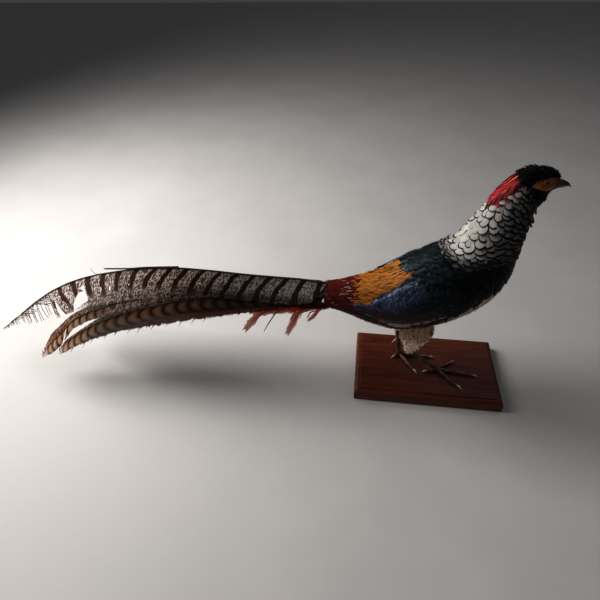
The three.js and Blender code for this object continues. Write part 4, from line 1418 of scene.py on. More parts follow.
def build_wing(side, sign):
    """A folded wing: rows of small blue feathers over long brown quills."""
    right = sign < 0
    rng, plumage = start(41 if right else 42)
    place, angle = staggered_roots(outer_form, (2.7, 6.2), (24, 104), 6.2, 8.4, rng, 0.2, 75)
    keep = angle > wing_top(place) - (0 if right else left_wing_rise(place)) + 5
    keep &= angle < np.interp(place, [2.3, 3.0, 4.0, 5.0, 5.8, 6.2], [84, 92, 102, 104, 100, 90])
    place, angle, count = chosen(keep, place, angle)
    dark = np.maximum(smooth_step(76, 96, angle), smooth_step(4.9, 5.7, place) * 0.8)
    dark = np.maximum(dark, smooth_step(4.0, 4.7, place) * smooth_step(62, 74, angle))
    blue = shade(blend_colours(plumage.wing_blue, plumage.breast_black, dark * 0.85), rng, 0.35, count)
    shine = rng.random(count) * (1 - dark) * smooth_step(86, 60, angle)
    size = np.interp(place, [2.3, 3.2, 4.5, 6], [24, 21, 17, 14])
    coverts = lay_vanes(
        outer_form, rng, dict(rows=8, columns=6, edge_side=0.6, edge_tip=0.8, camber=0.12, ragged=0.04),
        place, sign * angle, vary(rng, size, count), vary(rng, 12.0, count),
        sign * (2 + rng.normal(0, 5, count)), 2.6, blue, blend_colours(blue, plumage.wing_shine, shine))

    # Narrow feathers follow the upper edge of the wing and give it a clean line.
    place = np.arange(2.55, 5.2, 0.085)
    count = len(place)
    fall = -(wing_top(place + 0.2) - wing_top(place - 0.2)) / 0.4
    top = wing_top(place) - (0 if right else left_wing_rise(place))
    _, _, size_place, size_angle = surface_frame(outer_form, place, top)
    turn = np.degrees(np.arctan2(fall * size_angle, size_place))
    black = shade(plumage.wing_blue, rng, 0.4, count)
    edging = lay_vanes(
        outer_form, rng, dict(rows=8, columns=6, squareness=2.0, edge_side=0.6, edge_tip=0.9, camber=0.12),
        place, sign * (top + 3.0), vary(rng, 19.0, count), vary(rng, 8.0, count),
        sign * (turn + rng.normal(0, 2, count)), 2.0, black, black * (0.25 if right else 2.5),
        0.4 if right else 2.8)
    make_coat(f"wing_coverts_{side}", join_parts([coverts, edging]),
              feather_material(f"Wing blue {side}", 0.45, 0.0, 0.36, metallic=0.2, specular=0.2),
              (f"wing_{side}",))

    count = 13
    order = np.arange(count)
    brown = shade(plumage.quill_brown, rng, 0.3, count)
    brown = blend_colours(brown, plumage.belly_brown, smooth_step(4, 12, order) * 0.6)
    edge = blend_colours(brown, plumage.quill_edge,
                         np.where(order % 3 == 0, 0.8, 0.06) * smooth_step(1, 4, order))
    lay_coat(f"wing_quills_{side}", "blue_plumage",
             feather_material(f"Wing quills {side}", 0.4, 0.08, 0.6, sheen=0.0, specular=0.1), outer_form,
             rng,
             dict(rows=26, columns=9, steps=20, root=0.7, widest=0.5, squareness=2.0, edge_side=0.86,
                  edge_tip=0.98, camber=0.16, roll=2, flutter=0.1, crowding=1.0),
             np.interp(order, [0, 6, 12], [5.1, 5.25, 4.9]), sign * np.interp(order, [0, 12], [90, 119]),
             vary(rng, np.interp(order, [0, 5, 12], [128, 120, 74]), count, 0.05),
             vary(rng, 13.0, count, 0.1),
             sign * rng.normal(-3.0, 1.5, count), 2.0, brown, edge, np.linspace(0.9, -0.5, count))


def build_thighs():
    """The short cream feathers of the thighs."""
    parts = []
    for side, sign in SIDES:
        rng, plumage = start(51 if sign < 0 else 52)
        form = thigh_form(side)
        top = len(LEGS[side]["thigh"]) - 1.0
        place, angle = staggered_roots(form, (0.25, top), (-180, 180), 3.4, 3.8, rng, 0.35)
        count = len(place)
        high = smooth_step(top - 2.2, top - 0.6, place)
        cream = blend_colours(plumage.thigh_cream, plumage.thigh_tan,
                              np.clip(high + rng.normal(0, 0.15, count), 0, 1))
        cream = shade(cream, rng, 0.2, count)
        soiled = (rng.random(count) < 0.10) & (place > 0.8)
        cream[soiled] = cream[soiled] * np.array([0.42, 0.30, 0.22])
        size = np.interp(place, [0, 1, 2.5, top], [9, 11, 13, 15])
        part = lay_vanes(
            form, rng, dict(rows=6, columns=4, ragged=0.22, squareness=1.6, roll=8, flutter=0.4), place,
            angle,
            vary(rng, size, count, 0.2), vary(rng, size * 0.42, count, 0.2), rng.normal(0, 16, count),
            2.0, cream, blend_colours(cream, plumage.belly_white, 0.3), rng.uniform(-0.2, 0.8, count),
            rng.uniform(0, 1, count) ** 3 * 4.0)
        part["OFBake"] = part["OFBake"] * np.array([1.0, 0.5]) + np.array([0.0, 0.45 if sign < 0 else 0.0])
        parts.append(part)
    make_coat("thigh_feathers", join_parts(parts),
              feather_material("Thigh down", 0.3, 0.0, 0.78, sheen=0.08))


# ---- the tail

def along_rows(rows, s, column):
    order = np.argsort(rows[:, 0])
    return np.interp(s, rows[order, 0], rows[order, column])


def ridge_height(s):
    places = np.arange(len(RIDGE))
    place = np.interp(-np.asarray(s, float), -RIDGE[:, 0], places)
    return read_rows(RIDGE, place)[..., 1]


def roof_point(sign, s, down, depth):
    """A point of the tail's roof: s along, a distance down the flank, a depth under it."""
    slope = np.radians(along_rows(ROOF_SLOPE, s, 1))
    return pile(s, sign * (down * np.cos(slope) - depth * np.sin(slope)),
                     ridge_height(s) - down * np.sin(slope) - depth * np.cos(slope))


def barb_web(sign, band, shaft, edge, layer, rng, look):
    """One web of a tail feather: bundles of barbs from the shaft to an edge of the band."""
    first, last = TAIL_ROOT, band[-1, 0]
    count = int((first - last) / look["bundle"])
    bundle = (first - last) / count
    lines = np.linspace(first, last, count + 1)
    q = np.linspace(0, 1, look.get("across", 9))
    start = np.stack([lines[:-1], lines[1:]], axis=1)[:, :, None] + 0 * q
    middle = start.mean(axis=1, keepdims=True)
    wide = np.abs(edge(start) - shaft(start))
    sweep = np.interp(-start, *np.array(look["sweep"], float).T)
    loose = smooth_step(*look.get("loose", (9000, 9001)), -lines)
    worn = loose[:-1, None, None]
    reach = 1 + rng.uniform(-1, 0.25, (count, 1, 1)) * look.get("ragged", 0.03)
    reach = reach + rng.uniform(-0.3, 0.1, (count, 1, 1)) * worn
    reach = np.where(rng.random((count, 1, 1)) < 0.5 * worn, 0.15 * reach, reach)
    along = q * reach
    s = start - sweep * wide * along ** look.get("curl", 1.3)

    # Barbs stand a little apart, and more so where the vane is worn to single strands.
    gaps = np.abs(rng.normal(0, look.get("gap", 0.06), count + 1)) * bundle
    opens = rng.uniform(0.5, 0.95, count + 1)
    kept = loose * look.get("strand", 0.8) * bundle * rng.uniform(0.85, 1.1, count + 1)
    gaps = np.maximum(gaps, kept)
    opens = np.where(kept > 0.3 * gaps, 0.03, opens)
    parting = smooth_step(0, 1, (q[None] - opens[:, None]) / (1 - opens[:, None]))
    parting = np.where(opens[:, None] < 0.1, smooth_step(0.0, 0.12, q)[None], parting)
    s[:, 0] = s[:, 0] - 0.5 * gaps[:-1, None] * parting[:-1]
    s[:, 1] = s[:, 1] + 0.5 * gaps[1:, None] * parting[1:]
    stray = rng.normal(0, 1, (count, 1, 1)) * worn
    s = s + stray * q**2 * look.get("stray", 5.0)

    # A split pushes the barbs on each of its sides away from it.
    straight = shaft(start) + (edge(start) - shaft(start)) * along
    for where, profile, reach in look.get("splits", ()):
        profile = np.array(profile, float)
        rootward = middle > where
        push = np.where(rootward, np.interp(straight, profile[:, 0], profile[:, 2]),
                        np.interp(straight, profile[:, 0], profile[:, 1]))
        s = s + push * np.exp(-np.abs(middle - where) / reach)

    s = np.maximum(s, last - 2)
    down = np.where(worn > 0.5, straight, shaft(s) + (edge(s) - shaft(s)) * along)
    cup = look.get("cup", 0.025) * wide * np.sin(np.pi * q)
    tilt = np.array([-0.12, 0.14])[None, :, None] + rng.normal(0, 0.07, (count, 1, 1))
    wave = look.get("wave", 0.35) * np.sin(s / 17.0) * q**2
    depth = layer * LAYER_STEP + LAYER_MIDDLE - cup + tilt * q + wave
    depth = depth + rng.normal(0, 0.8, (count, 1, 1)) * worn * q**2
    points = roof_point(sign, s, down, depth)
    run = np.where(worn > 0.5, first - middle, first - s)
    return {
        "points": to_row(points),
        "quads": grid_quads(2, len(q), count),
        "Vane": pile(run, down - shaft(s)).reshape(-1, 2) * MM,
        "along": np.repeat((first - start.mean(axis=(1, 2))).ravel(), 2 * len(q)),
    }


def shaft_tube(sign, band, shaft, layer, radius, end_radius):
    """The shaft of a tail feather."""
    s = np.linspace(TAIL_ROOT, band[-1, 0], 90)
    centres = roof_point(sign, s, shaft(s), layer * LAYER_STEP + LAYER_MIDDLE - 0.25)
    radii = np.interp(np.linspace(0, 1, 90), [0, 0.6, 1], [radius, radius * 0.7, end_radius])
    return {**tube_part(tube(centres, radii, 8), (TAIL_ROOT - s) * MM), "along": np.repeat(TAIL_ROOT - s, 8)}


def tail_unwrap(part, span, widest, look_in, strips=4):
    """A full unwrap of a tail feather: its length cut into strips, one above another."""
    quads = part["quads"]
    run, down = part["Vane"][quads.ravel()].T / MM
    middle = np.repeat(part["along"][quads].mean(axis=1), 4)
    strip = np.clip(np.floor(middle / span * strips), 0, strips - 1)
    u = 0.02 + 0.96 * np.clip(run / span * strips - strip, -0.1, 1.1) / 1.2 + 0.08
    v = (strip + 0.04 + 0.88 * np.clip((down + look_in) / widest, 0, 1)) / (strips + 0.3)
    return pile(np.clip(u, 0, 1), v)


def make_tail_feather(name, side, sign, layer, shaft_share, shaft_radii, materials, **look):
    """One of the long feathers: the webs on both sides of a shaft, laid on the roof."""
    rng = np.random.default_rng(61 + layer + (0 if sign < 0 else 50))
    band = TAIL_BANDS[name] if sign < 0 else {**TAIL_BANDS, **LEFT_BANDS}[name]

    def low(s):
        return along_rows(band, s, 1)

    def high(s):
        return along_rows(band, s, 2)

    def shaft(s):
        return low(s) + (high(s) - low(s)) * shaft_share

    web = barb_web(sign, band, shaft, high, layer, rng, look)
    if shaft_share:
        web = join_parts([web, barb_web(sign, band, shaft, low, layer, rng, {**look, "splits": ()})])
    stem = shaft_tube(sign, band, shaft, layer, *shaft_radii)
    span = TAIL_ROOT - band[-1, 0] + 4
    inner = np.max(shaft(band[:, 0]) - band[:, 1])
    widest = np.max(band[:, 2] - band[:, 1]) + 4
    corners = stem["quads"].ravel()
    stem_map = np.stack([stem["Vane"][corners, 0] / MM / span * 0.96 + 0.02,
                         0.965 + 0.03 * (corners % 8) / 8],
                        axis=-1)
    joined = join_parts([web, stem])
    piece = make_mesh(f"{name}_{side}", joined["points"], joined["quads"],
                      {"OFBake": np.concatenate([tail_unwrap(web, span, widest, inner), stem_map]),
                       "Vane": joined["Vane"]},
                      slots=np.repeat([0, 1], [len(web["quads"]), len(stem["quads"])]))
    finish_piece(piece, materials, (f"{name}_{side}",))


@effect("Scribbled lines", {"Run": 0.0, "Down": 0.0, "Barb slant": 0.4, "Scale": 190.0, "Thickness": 0.06},
        ("Line", "Barbs"))
def scribbled_lines(tree, run, down, slant, scale, thickness):
    """The maze of fine dark lines on a pheasant's tail feathers, drawn out along the barbs."""
    along = run - down * slant
    maze = tree.noise(tree.add("VectorMath", {0: tree.vector(along, down * 0.5), 3: scale},
                               operation="SCALE"),
                      1.0, 1.0, 0.4)
    return tree.ramp(abs(maze - 0.5), thickness, thickness * 0.35), tree.noise(along, 1500.0, 2.0, 0.6)


@effect("Tail bars", {"Run": 0.0, "Down": 0.0, "Spacing": 0.03, "Offset": 0.0, "Width": 0.25, "Slant": 0.0,
                      "Bow": 0.0, "Wobble": 0.004}, ("Bar", "Place in bar"))
def tail_bars(tree, run, down, spacing, offset, width, slant, bow, wobble):
    """Dark bars across a tail feather, each sharp on the side towards the tip."""
    sway = tree.noise(tree.vector(run, down), 60.0, 3.0, 0.6) - 0.5
    phase = sway.math("MULTIPLY_ADD", wobble, run - down * slant + down * down * bow)
    place = (phase / spacing + offset).math("FRACT")
    half = width * 0.5
    return tree.ramp(abs(place - 0.5), half, half * 0.75), place


def central_material(name):
    """Silver vane with scribbled lines and slanting dark bars, darker towards its root, partly as painted
    shade.
    """
    tail = settings("tail")
    look = Finish(name, 0.05)
    ramp, line, mix = look.ramp, look.line, look.mix
    run, down = look.uv("Vane")
    ground = mix(ramp(run, 0.10, 0.30), tail.silver_root, tail.silver_middle)
    ground = mix(ramp(run, 0.24, 0.46), ground, tail.silver)
    # Painted shade: the lower part of the vane is darkened near its root.
    low = ramp(down, 0.024, 0.040) * ramp(run, 0.32, 0.22)
    ground = look.toned(ground, (low * 0.75).inverse())
    maze, barbs = scribbled_lines(look, run, down, 0.5, 300.0, 0.115)
    stretched = run - (run - 0.3).math("MAXIMUM", 0.0) * 0.12
    slant = line(run, 0.02, 0.12, 0.6, 1.35).math("MINIMUM", line(run, 0.16, 0.30, 1.35, 1.1))
    slant = slant.math("MINIMUM", line(run, 0.30, 0.52, 1.1, -0.4))
    width = ramp(run, 0.10, 0.34, 0.39, 0.42)
    bar, within = tail_bars(look, stretched, down, tail.bar_spacing, 0.2, width, slant, 11.0, 0.012)
    maze = maze * ramp(abs(within - 0.5), 0.17, 0.26, 0.75, 1.0) * ramp(run, 0.05, 0.25, 0.75, 0.92)
    dark = mix(ramp(run, 0.26, 0.42), tail.bar_dark, tail.bar_worn)
    marked = mix(maze, ground, dark)
    marked = mix(ramp(run, 0.525, 0.545, 0.0, 0.85), marked, dark)

    # Low on the worn end the bars break up into patches and frayed lines.
    patchy = look.noise(look.vector(run - down * 0.5, down), 90.0)
    broken = ramp(down, 0.027, 0.045) * ramp(run, 0.20, 0.32) * ramp(run, 0.50, 0.44)
    faded = broken * ramp(patchy, 0.42, 0.55, 0.25, 0.95)
    strength = bar * ramp(barbs, 0.15, 0.4, 0.75, 1.0) * faded.inverse()
    frayed, _ = scribbled_lines(look, run, down, 0.9, 330.0, 0.10)
    marked = mix(frayed * (broken * 0.55), marked, dark)
    result = look.toned(mix(strength, marked, dark), ramp(barbs, 0.3, 0.7, 0.85, 1.12))
    return look.done(result, (barbs, 0.3, 0.7, 0.6, 0.8), (barbs, 0.4, 0.0004))


def outer_material(name, cell_middle, cells_from, fringe_near, fringe_far):
    """Brown vane with a row of round cells under the shaft and scribbled lines above it."""
    tail = settings("tail")
    look = Finish(name, 0.05)
    ramp, mix = look.ramp, look.mix
    run, down = look.uv("Vane")
    maze, barbs = scribbled_lines(look, run, down, 0.5, 250.0, 0.13)
    offset = (down - cell_middle).math("MAXIMUM", -cell_middle)
    beyond = (run - CELLS_SHRINK_FROM).math("MAXIMUM", 0.0)
    squeezed = run + beyond * beyond * CELLS_SHRINK
    bar, within = tail_bars(look, squeezed, offset, tail.cell_spacing, 0.0, 0.25, -0.22, 76.0, 0.005)
    pale = ramp(run, 0.40, 0.52)
    ground = mix(ramp(run, 0.16, 0.34), tail.brown_root, tail.brown)
    ground = mix(pale, ground, tail.tan)
    # Painted shade: each cell is toned lighter in its middle and darker towards its edges, to look rounded.
    centre = ramp(abs(offset), 0.013, 0.002, 0.5, 1.25)
    cell = look.toned(ground, centre * ramp(abs(within - 0.5), 0.16, 0.42, 0.55, 1.15))
    cell = mix(bar, cell, tail.bar_dark)
    upper = mix(pale, mix(0.5, ground, tail.silver_middle), tail.tan)
    upper = mix(maze * 0.9, upper, mix(ramp(run, 0.40, 0.50), tail.bar_dark, tail.fringe))
    cell = mix(ramp(run, cells_from, cells_from + 0.03), upper, cell)
    fringe = ramp(down - ramp(run, 0.30, 0.44, fringe_near, fringe_far), -0.001, 0.003)
    result = mix(fringe, cell, mix(ramp(barbs, 0.35, 0.6), tail.bar_dark, tail.fringe))
    result = mix(ramp(down, 0.0006, -0.0006), result, upper)
    result = look.toned(result, ramp(barbs, 0.3, 0.7, 0.85, 1.12))
    return look.done(result, (barbs, 0.3, 0.7, 0.6, 0.8), (barbs, 0.4, 0.0004))


def shaft_material(name, pale_from):
    """Dark glossy shaft that is pale and broken into dark lengths near its tip."""
    tail = settings("tail")
    look = Finish(name, 0.15)
    run, _ = look.uv("Vane")
    pale = look.ramp(look.noise(run, 42.0, 1.0, 0.4), 0.44, 0.52)
    pale = pale * look.ramp(run, pale_from, pale_from + 0.04)
    grain = look.noise(run, 900.0)
    ground = look.mix(grain * 0.25, tail.shaft_dark, (0.12, 0.07, 0.05))
    return look.done(look.mix(pale, ground, tail.shaft_pale), (grain, 0.2, 0.8, 0.3, 0.5))


def build_tail():
    """The eight long tail feathers, and the bare rod and curled barb on the ridge."""
    bundle = in_mm(settings("tail").barb_width)
    central = central_material("Central tail feather"), shaft_material("Central shaft", 0.585)
    outer_shaft = shaft_material("Outer shaft", 0.9)
    second = outer_material("Second tail feather", 0.009, 0.385, 0.030, 0.030), outer_shaft
    third = outer_material("Third tail feather", 0.0115, -0.1, 0.022, 0.034), outer_shaft
    lean = ((180, 0.75), (430, 0.70), (540, 0.40), (600, 0.05), (640, -0.10), (690, -0.45), (850, -0.40))
    slit = ((20, 0, 0), (28, -1.6, 1.6), (36, 0, 0))
    hole = ((11, 0, 0), (16, -4, 1), (24, -11, 3), (30, -17, 5), (36, -22, 7), (44, -27, 8), (50, -27, -9),
            (57, -27, -27))
    near_splits = ((-624, hole, 26.0), (-586, slit, 6.0), (-566, slit, 6.0), (-524, slit, 5.0),
                   (-697, ((14, 0, 0), (40, -3, 5), (60, -5, 10)), 16.0))
    far_splits = (-655, ((22, 0, 0), (30, -8, 8), (44, -14, 12), (58, -18, 14)), 22.0), (-560, slit, 6.0)
    tip_split = (-668, ((80, 0, 0), (96, -2.0, 2.0), (106, -4, 4)), 8.0),
    for side, sign in SIDES:
        make_tail_feather(
            "tail_central", side, sign, 0, 0.0, (1.15, 1.1), central, bundle=bundle, sweep=lean,
            loose=(694, 716),
            splits=near_splits if sign < 0 else far_splits, strand=0.45, stray=2.0, ragged=0.05,
            across=15, gap=0.04)
        make_tail_feather(
            "tail_second", side, sign, 1, 0.45, (1.3, 0.4), second, bundle=bundle, splits=tip_split,
            gap=0.03,
            sweep=((180, 0.7), (560, 0.6), (740, 0.3)), loose=(706, 736), strand=0.4, stray=1.5, ragged=0.08)
        make_tail_feather(
            "tail_third", side, sign, 2, 0.2, (1.2, 0.4), third, bundle=bundle, loose=(668, 688), across=11,
            sweep=((180, 0.6), (520, 0.55), (690, 0.3)), strand=0.4, stray=1.5, ragged=0.08, gap=0.012)
        make_tail_feather("tail_fourth", side, sign, 3, 0.2, (1.1, 0.4), third, bundle=bundle,
                          sweep=((180, 0.6), (540, 0.5)), ragged=0.08, gap=0.012)
    build_bare_rod(outer_shaft)
    build_edge_barbs()


def build_stalks(name, material, parts):
    """Thin bare stalks as one piece."""
    joined = join_parts(parts)
    finish_piece(make_mesh(name, joined["points"], joined["quads"], {"Vane": joined["Vane"]}),
                 [material])


def build_bare_rod(material):
    """A bare shaft that has lost its vane stands off the ridge, with one curled barb behind."""
    line = smooth_line([(-440, 0, 243.2), (-500, 0, 239.3), (-530, 0, 235.6), (-579, 0, 233.0)], 40)
    rings = tube(line, np.linspace(1.7, 1.3, 40), 10)
    rings[-1] = rings[-1].mean(axis=0) + (rings[-1] - rings[-1].mean(axis=0)) * 0.6
    turn = np.linspace(0, 1, 40)
    curl = np.stack([-598 + 3.2 * np.cos(turn * 7.5) * (1 - 0.5 * turn) - 6 * turn,
                     -1 + 1.5 * np.sin(turn * 6.0), 221 + 15 * turn - 2.6 * np.sin(turn * 7.5)], axis=1)
    run = np.linspace(0.3, 0.4, 40)
    build_stalks("bare_shaft", material,
                 [tube_part(rings, run), tube_part(tube(curl, np.linspace(0.45, 0.2, 40), 6), run)])


def build_edge_barbs():
    """Stiff dark barbs that stand out along the lower edge of the outer feathers."""
    parts = []
    for _, sign in SIDES:
        rng = np.random.default_rng(71 if sign < 0 else 72)
        for s in np.arange(-392, -660, -24.0) + rng.uniform(-5, 5, 12):
            down = along_rows(TAIL_BANDS["tail_third"], s, 2)
            reach = rng.uniform(4, 9)
            line = roof_point(sign, s + np.array([2.0, -1.0, -2.0 - reach * 0.25]),
                              down + np.array([-1.5, reach * 0.4, reach]), np.array([4.9, 4.9, 5.0]))
            parts.append(tube_part(tube(smooth_line(line, 8), np.linspace(0.8, 0.15, 8), 5),
                                   np.linspace(0.1, 0.12, 8)))
    build_stalks("edge_barbs", shaft_material("Edge barbs", 0.9), parts)


# ---- plumes

def plume_part(midrib, width, face, rng, colours, bundles=70, lean=2.2):
    """A narrow loose plume along a line, as bundles of barbs on both sides of its shaft."""
    line = smooth_line(midrib, bundles + 1)
    along = unit(np.gradient(line, axis=0))
    across = unit(np.cross(along, np.asarray(face, float)))
    share = np.linspace(0, 1, bundles + 1)
    half = width * 0.5 * (0.30 + 0.70 * np.sin(np.pi * (0.12 + 0.80 * share)))
    step = np.linalg.norm(line[1] - line[0])
    q = np.linspace(0, 1, 5)

    def ends(values):
        return np.stack([values[:-1], values[1:]], axis=1)

    start, way, place = ends(line)[:, :, None], ends(along)[:, :, None], share[:-1, None, None]
    parts = []
    for hand in (1, -1):
        out = ends(across)[:, :, None] * hand
        reach = ends(half) * rng.uniform(0.75, 1.08, (bundles, 1))
        gap = np.array([0.5, -0.5])[None, :] * step * rng.uniform(0.0, 0.35, (bundles, 1))
        reach, gap = reach[..., None], gap[..., None]
        points = start + out * (reach * q)[..., None] + way * (reach * lean * q**1.2)[..., None]
        points = points + way * (gap * q**2)[..., None]
        sag = rng.normal(0, 0.25, (bundles, 1, 1)) * q - 0.12 * q
        points = points + np.cross(way, out) * sag[..., None]
        tint = blend_colours(*colours, smooth_step(0.62, 1.0, place + 0.15 * q) * np.ones((bundles, 2, 5)))
        tint = tint * rng.uniform(0.75, 1.2, (bundles, 1, 1, 1))
        run = place * np.ones((2, 5))
        u = 0.02 + 0.95 * run + np.array([0, 0.9 / bundles])[:, None]
        parts.append({
            "points": to_row(points),
            "quads": grid_quads(2, 5, bundles),
            "OFBake": pile(u, 0.5 + 0.45 * hand * q + 0 * u).reshape(-1, 2),
            "Vane": pile(hand * reach * q, run * bundles * step).reshape(-1, 2) * 0.01,
            "tint": tint.reshape(-1, 3),
        })
    run = np.repeat(share, 5)
    parts.append({
        **tube_part(tube(line, np.linspace(0.55, 0.15, bundles + 1), 5), share),
        "OFBake": pile(0.02 + 0.95 * run, np.full_like(run, 0.985)),
        "Vane": pile(0 * run, run * bundles * step) * 0.01,
        "tint": blend_colours(colours[0] * 0.6, colours[1], smooth_step(0.6, 1.0, run)),
    })
    return join_parts(parts)


def build_plumes():
    """The orange plumes beside the tail, each a pair of loose strands."""
    plumage = settings("plumage")
    colours = np.array(plumage.plume_orange), np.array(plumage.plume_tip)
    material = feather_material("Orange plumes", 0.4, 0.0, 0.5, sheen=0.05)
    for side, sign in SIDES:
        for order, (name, (width, midrib)) in enumerate(PLUMES.items()):
            rng = np.random.default_rng(81 + order + (0 if sign < 0 else 10))
            part = plume_part(np.array(midrib, float) * [1, sign, 1], width, (0, sign * 0.85, 0.5), rng,
                              colours)
            make_coat(f"{name}_{side}", part, material, (f"{name}_{side}",))


def build_under_coverts():
    """Long red coverts that lie under the flanks of the tail, and thin loose strands."""
    rng, plumage = start(95)
    red, rust = np.array(plumage.covert_red), np.array(plumage.plume_orange)
    parts = []
    for _, sign in SIDES:
        for k, angle in enumerate(np.linspace(100, 172, 10)):
            root = outer_form(np.array(0.45), np.array(sign * angle)) + np.array([0, 0, 1.2])
            long = rng.uniform(52, 92) * (1.0 if angle < 150 else 0.8)
            drift = np.array([0, -sign * 2.0, rng.uniform(-1.5, 2.5)])
            midrib = [root, root + np.array([-long * 0.5, 0, 0]) + drift * 0.4,
                      root + np.array([-long, 0, -1.5]) + drift]
            tint = blend_colours(red, rust, 0.35 * rng.random() + (0.25 if k % 3 == 0 else 0))
            parts.append(plume_part(midrib, rng.uniform(9, 13), (0, sign * 0.7, 0.6), rng,
                                    (tint * 0.5, tint * 0.8), bundles=30, lean=1.3))
        for s, l, z, drop in LOOSE_STRANDS:
            midrib = np.array([(s + 30, l - 6, z + 5), (s, l, z), (s - 0.35 * drop, l + 1, z - 0.5 * drop),
                               (s - 0.6 * drop, l + 2, z - drop)]) * [1, sign, 1]
            parts.append(plume_part(midrib, 2.6, (0, sign, 0.4), rng, (rust * 0.6, rust * 0.8),
                                    bundles=24, lean=1.3))
    for order, part in enumerate(parts):
        part["OFBake"] = part["OFBake"] * 0.16 + np.array([(order % 6) / 6, (order // 6) / 6])
    make_coat("under_coverts", join_parts(parts),
              feather_material("Under coverts", 0.45, 0.0, 0.7, sheen=0.0, specular=0.08))


# ---- eyes and bill

def eye_material():
    """A glass eye: black pupil, orange iris with fine rays, dark outer ring."""
    iris_colour = settings("head").iris
    look = Finish("Glass eye", 0.3, Roughness=0.22, Coat_Weight=0.35, Coat_Roughness=0.06)
    radius, turn = look.uv("Vane")
    rays = look.noise(look.vector(turn * 14.0, radius), 3.0, 3.0, 0.7)
    iris = look.mix(look.ramp(rays, 0.35, 0.65, 0.0, 0.75), iris_colour, (0.20, 0.035, 0.006))
    iris = look.mix(look.ramp(radius, 0.40, 0.60), iris, iris_colour)
    ring = look.mix(look.ramp(radius, 0.66, 0.80), iris, (0.012, 0.006, 0.004))
    return look.done(look.mix(look.ramp(radius, 0.42, 0.36), ring, (0.002, 0.002, 0.002)))


def build_eyes():
    """The eyes, with a slightly bulging cornea, facing a little forwards."""
    material = eye_material()
    rows, columns = 26, 32
    angle = (np.linspace(0.02, 1.0, rows) * (np.pi * 0.62))[:, None]
    turn = full_turn(columns)
    swell = EYE_RADIUS * (1 + 0.035 * smooth_step(0.75, 0.2, angle))
    out = swell * np.cos(angle) * np.ones(columns)
    up, forward = swell * np.sin(angle) * np.cos(turn), swell * np.sin(angle) * np.sin(turn)
    look = pile(angle / (np.pi * 0.62) * np.ones(columns) * 1.3, np.ones((rows, 1)) * turn / (2 * np.pi))
    bake = 0.5 + 0.45 * pile(angle / angle[-1] * np.cos(turn), angle / angle[-1] * np.sin(turn))
    lean = 0.10
    for side, sign in SIDES:
        points = pile(EYE_CENTRE[0] + forward + lean * out, sign * (EYE_CENTRE[1] + out - lean * forward),
                           EYE_CENTRE[2] + up)
        quads = grid_quads(rows, columns, closed=True)
        piece = make_mesh(f"eye_{side}", to_row(points), quads if sign < 0 else quads[:, ::-1],
                          {"OFBake": bake, "Vane": look})
        finish_piece(piece, [material], (f"eye_{side}",))


def bill_material():
    """Horn: dark on the ridge, paler and worn towards the cutting edge and the tip."""
    head = settings("head")
    look = Finish("Bill horn", 0.5, Coat_Weight=0.25, Coat_Roughness=0.3)
    along, edge = look.uv("Vane")
    grain = look.noise(look.place(), 300.0, 3.0, 0.6)
    lines = look.noise(look.vector(along * 1.5, edge * 12.0), 4.0, 3.0, 0.6)
    worn = look.ramp(edge, 0.30, 0.02).math("MAXIMUM", look.ramp(along, 0.80, 1.05, 0.0, 0.7))
    worn = worn * look.ramp(lines, 0.25, 0.6, 0.45, 1.0)
    ground = look.mix(grain * 0.5, head.bill_dark, (0.075, 0.058, 0.04))
    return look.done(look.mix(worn, ground, head.bill_pale), (lines, 0.3, 0.7, 0.32, 0.5),
                     (lines, 0.35, 0.0003))


def bill_rings(upper):
    """Half ovals along a drooping line, closed along the mouth."""
    reach = BILL_LENGTH if upper else BILL_LENGTH * LOWER_SHARE
    u = np.linspace(0, 1, 44)[:, None]
    turn = np.linspace(0, np.pi, 33)
    distance = -BILL_ROOT + (reach + BILL_ROOT) * u
    mouth = BILL_START[1] - MOUTH_BELOW - BILL_DROOP * np.sign(distance) * (distance / BILL_LENGTH) ** 2
    hook = BILL_HOOK * np.maximum(distance / BILL_LENGTH - LOWER_SHARE, 0) if upper else 0 * u
    full = 1 - 0.95 * u ** (2.5 if upper else 2.1)
    depth = BILL_DEPTH * 0.54 * full + 0.35 if upper else -BILL_DEPTH * 0.34 * full - 0.25
    half = BILL_WIDTH * 0.5 * (1 - 0.95 * u ** (1.75 if upper else 1.9)) * (1 if upper else 0.86)
    level = mouth - hook + (0.12 if upper else -0.12)
    across = half * np.cos(turn) * (1 - 0.10 * np.sin(turn) ** 2)
    height = level + depth * np.sin(turn) ** 0.92
    if upper:
        slot = np.exp(-((distance - 5.2) / 2.6) ** 2 - ((height - level - 3.3) / 0.85) ** 2)
        flap = np.exp(-((distance - 5.0) / 3.0) ** 2 - ((height - level - 4.7) / 0.8) ** 2)
        across = across - np.sign(across) * (1.2 * slot - 0.45 * flap)
    look = pile(distance / BILL_LENGTH + 0 * turn, np.abs(np.sin(turn)) + 0 * u)
    return pile(BILL_START[0] + distance + 0 * turn, across, height), look


def build_bill():
    """The bill: its upper half with nostrils and a hooked tip, and its lower half."""
    material = bill_material()
    for name, upper in (("bill_upper", True), ("bill_lower", False)):
        points, look = bill_rings(upper)
        quads = grid_quads(*points.shape[:2], closed=True)
        piece = make_mesh(name, to_row(points), quads if upper else quads[:, ::-1], {"Vane": look})
        finish_piece(piece, [material], (name,))


# ---- claws and spurs

def claw_material():
    """Pale horn, dark where it leaves the toe, with fine lines along it."""
    head = settings("head")
    look = Finish("Claw horn", 0.5, Coat_Weight=0.2)
    along, turn = look.uv("Vane")
    lines = look.noise(look.vector(along, turn * 9.0), 4.0, 2.0, 0.6)
    share = look.add("Math", {0: look.ramp(along, 0.0, 0.5), 1: lines * 0.2}, operation="ADD",
                     use_clamp=True)
    return look.done(look.mix(share, head.claw_dark, head.claw_pale), (lines, 0.3, 0.7, 0.28, 0.45))


